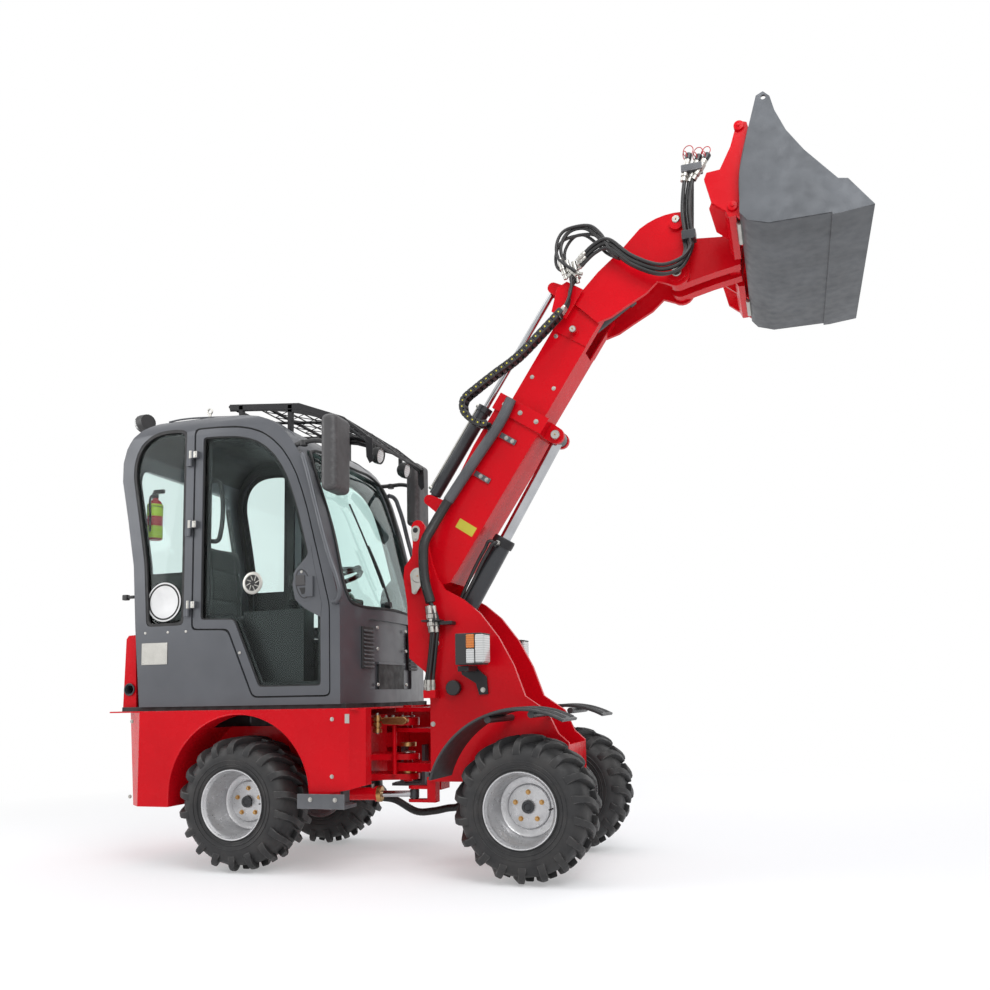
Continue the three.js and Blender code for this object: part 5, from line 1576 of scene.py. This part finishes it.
                for s in (420, 920):
                    piece.add(rod(on_boom(s, -40, 225), on_boom(s, -40, 277), 10, 20, 1), ZINC)
            piece.close([node])

    def build(self) -> None:
        """Make the boom."""
        self.outer()
        self.inner()
        self.fittings()
        self.cylinders()
        HoseChain().build()


@dataclass
class Tool:
    """Quick hitch and the wide bucket."""

    half: float = 615.0

    def hitch(self) -> None:
        """Red hitch frame with its pins, lock rods and bolted bosses."""
        piece = Dressed("hitch", RED, 3.0).build()
        for s in (1, -1):
            out = LEFT * s
            pin = [(-10, 0), (-10, 24), (3, 24), (6, 20), (6, 0)]
            piece.add(turned(pin, (760, s * 99, 3068), out, 32), ZINC)
            piece.add(rod((1058, s * 330, 2900), (1058, s * 520, 2900), 13, 24, 2), ZINC)
            for x, z in ((1078, 3316), (1036, 2950)):
                piece.add(turned([(-6, 0), (-6, 22), (10, 22), (12, 19), (12, 0)], (x, s * 575, z), out, 32))
                piece.add(bolt((x, s * 587, z), out, 13, 6, washer=False))
        piece.close()

    def bucket(self) -> None:
        """Bucket with its lifting eyes and the welds of its back."""
        piece = Dressed("bucket", BUCKET_GREY, 2.5).build()
        for s in (1, -1):
            y = s * (self.half - 14)
            piece.shape = bored(piece.shape, (1187, y, 3404), (1187, s * (self.half + 40), 3404), 11)
            piece.add(curve_mesh([(1070, y, 2905), (1074, y, 3080), (1120, y, 3285)], 4, 8))
        piece.close()

    def build(self) -> None:
        """Make the hitch and the bucket."""
        self.hitch()
        self.bucket()


# --- front chassis
@dataclass
class FrontChassis:
    """Front frame with its tower, mudguards, headlights, lock plates and filler cap."""

    tower: float = 187.0
    arch_radius: float = 450.0

    def frame(self) -> None:
        """Tower and front frame with their pins, rolled tips, bolts and filler cap."""
        piece = Dressed("front_frame", RED, 3.0).build()
        Boom().pin(piece, (-627, 208, 1453), 34, (-0.25, -1))
        for s in (1, -1):
            out = LEFT * s
            y = s * (self.tower + 0.5)
            piece.add(turned([(-2, 0), (-2, 26), (4, 26), (8, 22), (8, 0)], (-545.7, y, 1107), out, 36), ZINC)
            for x, z in ((-560, 700), (-430, 600), (-300, 560), (-180, 520)):
                piece.add(bolt((x, y, z), out, 15, 8), ZINC)
            crown = [(-646 + 25 * math.cos(a), 1694 + 26 * math.sin(a)) for a in
                     (math.pi * k / 10 for k in range(11))]
            rim = [*crown, (-666, 1650), (-656, 1638), (-640, 1638), (-630, 1650)]
            piece.add(side_plate(rim, sorted((s * (self.tower - 1), s * (self.tower + 5))), 1.5), ZINC)
            piece.add(bolt((-648, s * (self.tower + 5), 1652), out, 12, 7), ZINC)
            piece.add(turned([(4, 0), (4, 14), (6, 14), (6, 0)], (-646, s * self.tower, 1696), out, 24), SEAL)
        piece.add(turned([(0, 0), (0, 30), (10, 30), (12, 38), (36, 38), (40, 34), (40, 0)],
                         (-440, -184, 879),
                         RIGHT, 36, 1.5), BLACK)
        for z in (450, 590, 700):
            piece.add(turned(bush(-10, 10, 24, 44), (-780, 0, z), UP, 40, 1.5), BRONZE)
        piece.close()

    def fenders(self) -> None:
        """Ribbed mudguards."""
        for s, node in ((1, "front_fender_left"), (-1, "front_fender_right")):
            piece = Dressed(node, FENDER, 3.0).build()
            for y in (318, 345, 372, 470, 497, 524):
                arc = [(self.arch_radius * math.cos(math.radians(a)), s * y,
                        330 + self.arch_radius * math.sin(math.radians(a))) for a in range(64, 162, 8)]
                piece.add(curve_mesh(arc, 5, 8))
            lip = [((self.arch_radius - 6) * math.cos(math.radians(a)), s * 570,
                    330 + (self.arch_radius - 6) * math.sin(math.radians(a))) for a in range(62, 164, 6)]
            piece.add(curve_mesh(lip, 7, 10))
            piece.close([node])

    def headlights(self) -> None:
        """Headlight clusters with clear fronts and side indicators."""
        for s, node in ((1, "headlight_left"), (-1, "headlight_right")):
            piece = Dressed(node, BLACK, 5.0, 3).build()
            def block(x: Flat, y: Flat, z: Flat, finish: Finish, soft: float = 5) -> None:
                """Rounded block on this side."""
                low, high = sorted((s * y[0], s * y[1]))
                piece.add(box((x[0], low, z[0]), (x[1], high, z[1]), soft, 3), finish)
            block((-262, -214), (292, 389), (994, 1132), CLEAR, 9)
            block((-306, -265), (376, 391), (1066, 1132), AMBER)
            block((-306, -265), (376, 391), (994, 1062), CLEAR)
            block((-372, -316), (190, 330), (956, 984), BLACK_STEEL, 4)
            block((-240, -214), (292, 384), (1128, 1136), BLACK, 2.5)
            arm = [(-404, 975), (-330, 984), (-268, 930), (-262, 845), (-308, 842), (-326, 900), (-400, 945)]
            piece.add(side_plate(arm, sorted((s * 188, s * 198)), 2), BLACK_STEEL)
            piece.add(bolt((-288, s * 198, 866), LEFT * s, 15, 7), ZINC)
            piece.close([node])

    def build(self) -> None:
        """Make the front chassis."""
        self.frame()
        self.fenders()
        self.headlights()


# --- cab fittings
@dataclass
class CabFittings:
    """Seat, wheel, console, cover, guard, lamps, mirrors and extinguisher."""

    guard: tuple[Flat, ...] = (
        (-1671, 2432), (-1458, 2412), (-1245, 2392), (-1115, 2341), (-985, 2290), (-830, 2160))
    wheel: Point = (-1235, 0, 1500)
    swell: float = 16.0

    def pad(self, node: str, channels: Sequence[tuple[int, float]]) -> bpy.types.Object:
        """Stuffed pad inflated by a cloth run, with sewn channels pressed in after it.

        Args:
            node: Packed cushion that it stands for.
            channels: Axis and place in metres of each sewn channel.

        Returns:
            The pad.
        """
        name, shape = f"{node}_pad", cad_shape(node, 22, 4)
        middle = sum((v.co for v in shape.verts), Vector()) / len(shape.verts)
        bmesh.ops.scale(shape, vec=(0.93, 0.95, 0.88), space=Matrix.Translation(-middle),
                        verts=shape.verts)
        data = bpy.data.meshes.new(name)
        shape.to_mesh(data)
        shape.free()
        thing = bpy.data.objects.new(name, data)
        bpy.context.scene.collection.objects.link(thing)
        cells = thing.modifiers.new("cells", "REMESH")
        cells.mode, cells.voxel_size = "VOXEL", 0.007
        bpy.context.view_layer.update()
        graph = bpy.context.evaluated_depsgraph_get()
        meshed = bpy.data.meshes.new_from_object(thing.evaluated_get(graph))
        thing.modifiers.clear()
        thing.data = meshed
        start = [v.co.copy() for v in meshed.vertices]
        cloth = thing.modifiers.new("cloth", "CLOTH")
        cloth.settings.use_pressure = True
        cloth.settings.uniform_pressure_force = 4.0
        cloth.settings.effector_weights.gravity = 0.0
        for step in range(1, 21):
            bpy.context.scene.frame_set(step)
        blown = thing.evaluated_get(bpy.context.evaluated_depsgraph_get()).to_mesh()
        moved = [v.co.copy() for v in blown.vertices]
        thing.modifiers.clear()
        bpy.context.scene.frame_set(1)
        for vert, before, after in zip(meshed.vertices, start, moved):
            step = after - before
            vert.co = before + step * min(1.0, self.swell / 1000 / max(step.length, 1e-9))
        shape = bmesh.new()
        shape.from_mesh(meshed)
        bpy.data.objects.remove(thing)
        bmesh.ops.remove_doubles(shape, verts=shape.verts, dist=1e-6)
        piece = Piece(name, "rear_machine", SEAT)
        for vert in shape.verts:
            for axis, place in channels:
                near = abs(vert.co[axis] - place)
                if near < 0.016:
                    vert.co += (middle - vert.co).normalized() * 0.007 * (1 - near / 0.016) ** 2
        piece.add(shape)
        thing = piece.close([node], weighted=False, subdivide=1)
        return thing

    def seat(self) -> None:
        """Seat with its base bellows."""
        self.pad("seat_cushion", ((1, -0.13), (1, 0.13), (0, AXLE_X - 1.72)))
        self.pad("seat_back", ((1, -0.12), (1, 0.12), (2, 1.40), (2, 1.58)))
        piece = Dressed("seat_base", BLACK_STEEL, 6, 3).build()
        for z in (1138, 1152, 1166, 1180):
            piece.add(box((-1890, -182, z - 5), (-1570, 182, z + 5), 5, 3), SEAL)
        piece.close()

    def steering_wheel(self) -> None:
        """Column, wheel hub, spinner knob, levers and dial pod."""
        piece = Dressed("steering_column", BLACK, 4, 3).build()
        hub = Vector(self.wheel)
        lean = (Vector((-1090, 0, 886)) - hub).normalized()
        knob = hub + LEFT * 120 + lean.cross(LEFT).normalized() * 112
        piece.add(turned([(0, 0), (0, 9), (22, 9), (26, 20), (44, 22), (54, 15), (56, 0)], knob, -lean,
                         28, 1))
        piece.add(turned([(-4, 0), (-4, 46), (8, 42), (14, 30), (14, 0)], hub, -lean, 40, 1.5), MIRROR_GREY)
        stalk = [hub + lean * 70, hub + lean * 66 + LEFT * 70, hub + lean * 54 + LEFT * 165]
        for s in (1, -1):
            piece.add(curve_mesh([Vector((p.x, s * p.y, p.z)) for p in stalk], 6, 10))
            tip = Vector((stalk[2].x, s * stalk[2].y, stalk[2].z))
            piece.add(rod(tip, tip + LEFT * s * 34 + UP * 4, 10, 20, 3))
        piece.add(box((-1130, -90, 1290), (-1080, 90, 1380), 12, 3), BLACK)
        piece.close()

    def console(self) -> None:
        """Side console with its joystick."""
        piece = Dressed("side_console", BLACK, 6, 3).build()
        stick = (-1240, -390, 1300)
        for k in range(5):
            piece.add(ring((stick[0], stick[1], stick[2] + 10 * k - 8), UP, 35 - 5 * k, 6, 32, 8), SEAL)
        piece.add(turned([(0, 0), (0, 20), (30, 22), (70, 19), (110, 24), (140, 26), (158, 20), (162, 0)],
                         (stick[0], stick[1], stick[2] + 40), Vector((0.15, 0.1, 1)), 28, 1.5), BLACK)
        piece.close()
        cover = Dressed("engine_cover", BLACK, 14, 3).build()
        cover.add(box((-1900, -220, 1126), (-1560, 220, 1133), 3)).close()

    def guard_and_lamps(self) -> None:
        """Roof guard with its lattice and work lamps."""
        piece = Dressed("roof_guard", BLACK_STEEL, 1.5).build()
        line = [Vector((x, 0, z)) for x, z in self.guard]
        stations = []
        for a, b in zip(line, line[1:]):
            count = max(2, round((b - a).length / 62))
            stations += [a.lerp(b, k / count) for k in range(count)]
        stations.append(line[-1])
        cheek = [(-1671, 2440), (-1245, 2400), (-985, 2298), (-958, 2246), (-1100, 2296), (-1245, 2346),
                 (-1400, 2374), (-1671, 2410)]
        tip = [(-858, 2186), (-818, 2164), (-814, 2046), (-834, 2034), (-852, 2070)]
        for y0, y1 in ((-342, -337), (337, 342)):
            piece.add(side_plate(cheek, (y0, y1), 1.5))
            piece.add(side_plate(tip, (y0, y1), 1.5))
        for spot in stations[2:-1]:
            piece.add(curve_mesh([(spot.x, -326, spot.z), (spot.x, 326, spot.z)], 3.6, 6, smooth=False))
        for lane in range(12):
            y = -326 + lane * 54.3
            zig = [(p.x, y + (54.3 if (k + lane) % 2 else 0), p.z) for k, p in enumerate(stations[2:])]
            piece.add(curve_mesh(zig, 2.8, 6, smooth=False))
        for y in (-336, 336):
            rail = ((-1668, 2408), (-1245, 2368), (-985, 2266), (-832, 2136))
            piece.add(curve_mesh([(x, y, z) for x, z in rail], 7, 8, smooth=False))
        piece.close()
        for i, y in enumerate((-175, 175)):
            lamp = Piece(f"roof_lamp_{i + 1}", "rear_machine", BLACK)
            foot = (-905, y, 2128)
            way = Vector((1, 0, -0.22))
            bowl = [(0, 0), (0, 20), (10, 34), (30, 44), (52, 47), (60, 47), (60, 41), (50, 40), (50, 0)]
            lamp.add(turned(bowl, foot, way, 44, 0.8))
            lamp.add(turned([(50, 0), (50, 41), (57, 38), (61, 24), (62, 0)], foot, way, 44), CLEAR)
            lamp.add(box((-902, y - 8, 2128), (-880, y + 8, 2190), 2.5))
            lamp.close()
        rear = Dressed("rear_work_lamp", BLACK, 8, 3).build()
        glass = [(0, 0), (0, 44), (10, 40), (14, 26), (15, 0)]
        rear.add(turned(glass, (-2262, -326, 2396), Vector((-1, 0, -0.25)), 44), CLEAR)
        rear.close()

    def mirrors(self) -> None:
        """Mirror shells with silvered backs, arms and clamps."""
        for s, node in ((1, "mirror_left"), (-1, "mirror_right")):
            piece = Piece(f"{node}_shell", "rear_machine", MIRROR_GREY)
            low, high = sorted((s * 430, s * 606))
            piece.add(box((-975, low, 1850), (-890, high, 2236), 30, 6))
            low, high = sorted((s * 462, s * 574))
            piece.add(box((-976.5, low, 1884), (-970, high, 2202), 1), MIRROR)
            piece.add(curve_mesh([(-1180, s * 500, 2120), (-1110, s * 520, 2124), (-1040, s * 526, 2126),
                                  (-960, s * 522, 2104)], 12, 14), BLACK)
            post = [(-14, 0), (-14, 19), (14, 19), (14, 0)]
            piece.add(turned(post, (-1110, s * 520, 2120), UP, 28, 2), BLACK)
            piece.add(ring((-984, s * 523, 2112), FORWARD, 14, 5, 28, 10), BLACK)
            piece.close([node])

    def extinguisher(self) -> None:
        """Fire extinguisher in its sleeve on the rear pillar."""
        piece = Piece("extinguisher", "rear_machine", CAP_RED)
        foot = (-2092, -400, 1712)
        piece.add(turned([(0, 0), (0, 34), (6, 40), (190, 40), (212, 30), (222, 16), (236, 14), (236, 0)],
                         foot, UP, 40, 1))
        for low in (8, 128):
            piece.add(turned(bush(low, low + 66, 38, 41.5), foot, UP, 40), LIME)
        piece.add(rod((-2092, -400, 1942), (-2092, -400, 1972), 17, 24, 1.5), BLACK)
        piece.add(box((-2102, -408, 1966), (-2034, -392, 1988), 3), BLACK)
        horn = [(-2092, -414, 1956), (-2088, -442, 1942), (-2088, -444, 1862), (-2088, -440, 1752)]
        piece.add(curve_mesh(horn, 6, 10), SEAL)
        piece.add(ring((-2092, -400, 1892), UP, 41, 2.5, 40, 8), BLACK)
        piece.close()

    def build(self) -> None:
        """Make the fittings."""
        self.seat()
        self.steering_wheel()
        self.console()
        self.guard_and_lamps()
        self.mirrors()
        self.extinguisher()


# --- studio
@dataclass
class Studio:
    """Camera, floor, backdrop and soft lights."""

    eye: Point = (1184.642, -4482.229, 845.528)
    yaw: float = 1.8732
    pitch: float = 0.1106
    roll: float = -0.0194
    lens: float = 33.02
    shift: Flat = (-0.0124, 0.0987)
    lamps: tuple[tuple[str, Point, Point, float, float], ...] = (
        ("key_panel", (2600, -4200, 5200), (-300, 0, 1400), 3.4, 175),
        ("roof_panel", (-900, -400, 6200), (-400, 0, 1200), 4.6, 112),
        ("left_panel", (-5200, -2600, 3000), (-700, 0, 1300), 3.0, 80),
        ("far_panel", (1600, 5200, 3600), (-300, 0, 1500), 3.4, 85),
    )

    def camera(self) -> None:
        """Place the camera."""
        forward = Vector((math.cos(self.yaw) * math.cos(self.pitch),
                          math.sin(self.yaw) * math.cos(self.pitch), math.sin(self.pitch)))
        right = forward.cross(UP).normalized()
        up = right.cross(forward)
        turn = Matrix.Rotation(self.roll, 3, -forward)
        right, up = turn @ right, turn @ up
        data = bpy.data.cameras.new("camera")
        data.lens, data.sensor_width = self.lens, 36.0
        data.shift_x, data.shift_y = self.shift
        thing = bpy.data.objects.new("camera", data)
        axes = Matrix((right, up, -forward)).transposed().to_4x4()
        thing.matrix_world = Matrix.Translation(at(*self.eye)) @ axes
        bpy.context.scene.collection.objects.link(thing)
        bpy.context.scene.camera = thing

    def lights(self) -> None:
        """Hang the soft panels."""
        for name, place, target, size, power in self.lamps:
            data = bpy.data.lights.new(name, "AREA")
            data.shape, data.size, data.energy = "SQUARE", size, power
            thing = bpy.data.objects.new(name, data)
            thing.visible_glossy = name != "far_panel"
            way = at(*target) - at(*place)
            turn = way.to_track_quat("-Z", "Y").to_matrix().to_4x4()
            thing.matrix_world = Matrix.Translation(at(*place)) @ turn
            bpy.context.scene.collection.objects.link(thing)

    def world(self) -> None:
        """Soft grey light, with a white backdrop for the camera, gloss and glass."""
        world = bpy.data.worlds.new("studio")
        bpy.context.scene.world = world
        world.use_nodes = True
        nodes, links = world.node_tree.nodes, world.node_tree.links
        nodes.clear()
        path = nodes.new("ShaderNodeLightPath")
        bright = path.outputs["Is Camera Ray"]
        for kind in ("Transmission", "Glossy"):
            either = nodes.new("ShaderNodeMath")
            either.operation = "MAXIMUM"
            links.new(bright, either.inputs[0])
            links.new(path.outputs[f"Is {kind} Ray"], either.inputs[1])
            bright = either.outputs[0]
        soft, white = nodes.new("ShaderNodeBackground"), nodes.new("ShaderNodeBackground")
        soft.inputs["Color"].default_value = (0.94, 0.96, 1.0, 1)
        soft.inputs["Strength"].default_value = 0.52
        white.inputs["Color"].default_value = (1, 1, 1, 1)
        mix = nodes.new("ShaderNodeMixShader")
        links.new(bright, mix.inputs["Fac"])
        links.new(soft.outputs[0], mix.inputs[1])
        links.new(white.outputs[0], mix.inputs[2])
        links.new(mix.outputs[0], nodes.new("ShaderNodeOutputWorld").inputs["Surface"])

    def floor(self) -> None:
        """Lay the pale floor, which keeps the machine's shadow."""
        shape = bmesh.new()
        bmesh.ops.create_circle(shape, cap_ends=True, segments=64, radius=60,
                                matrix=Matrix.Translation((0, 0, -0.0005)))
        data = bpy.data.meshes.new("floor")
        shape.to_mesh(data)
        shape.free()
        graph = Graph("floor_pale")
        graph.constant(Roughness=0.9, Specular_IOR_Level=0.0)
        reach = graph.nodes.new("ShaderNodeVectorMath")
        reach.operation = "LENGTH"
        graph.links.new(graph.place, reach.inputs[0])
        far = graph.spread(reach.outputs["Value"], (2.0, 5.5), (0, 1))
        graph.feed("Base Color", graph.mixed(far, (0.66, 0.66, 0.67), (0, 0, 0)))
        graph.feed("Emission Strength", graph.spread(far, (0, 1), (0.34, 1.0)))
        graph.shader.inputs["Emission Color"].default_value = (1, 1, 1, 1)
        data.materials.append(graph.material)
        thing = bpy.data.objects.new("floor", data)
        bpy.context.scene.collection.objects.link(thing)

    def build(self) -> None:
        """Light and frame the scene."""
        self.camera()
        self.lights()
        self.world()
        self.floor()
        bpy.context.scene.view_settings.view_transform = "Standard"


def main() -> None:
    """Build the machine and its studio."""
    logging.basicConfig(level=logging.INFO, format="%(message)s")
    Studio().build()
    for place in ("front_left", "front_right", "rear_left", "rear_right"):
        Wheel(place).build()
    RearChassis().build()
    Cab().build()
    for side in Side:
        Door(side).build()
    FrontChassis().build()
    Boom().build()
    Tool().build()
    Hoses().build()
    CabFittings().build()


if __name__ == "__main__":
    main()
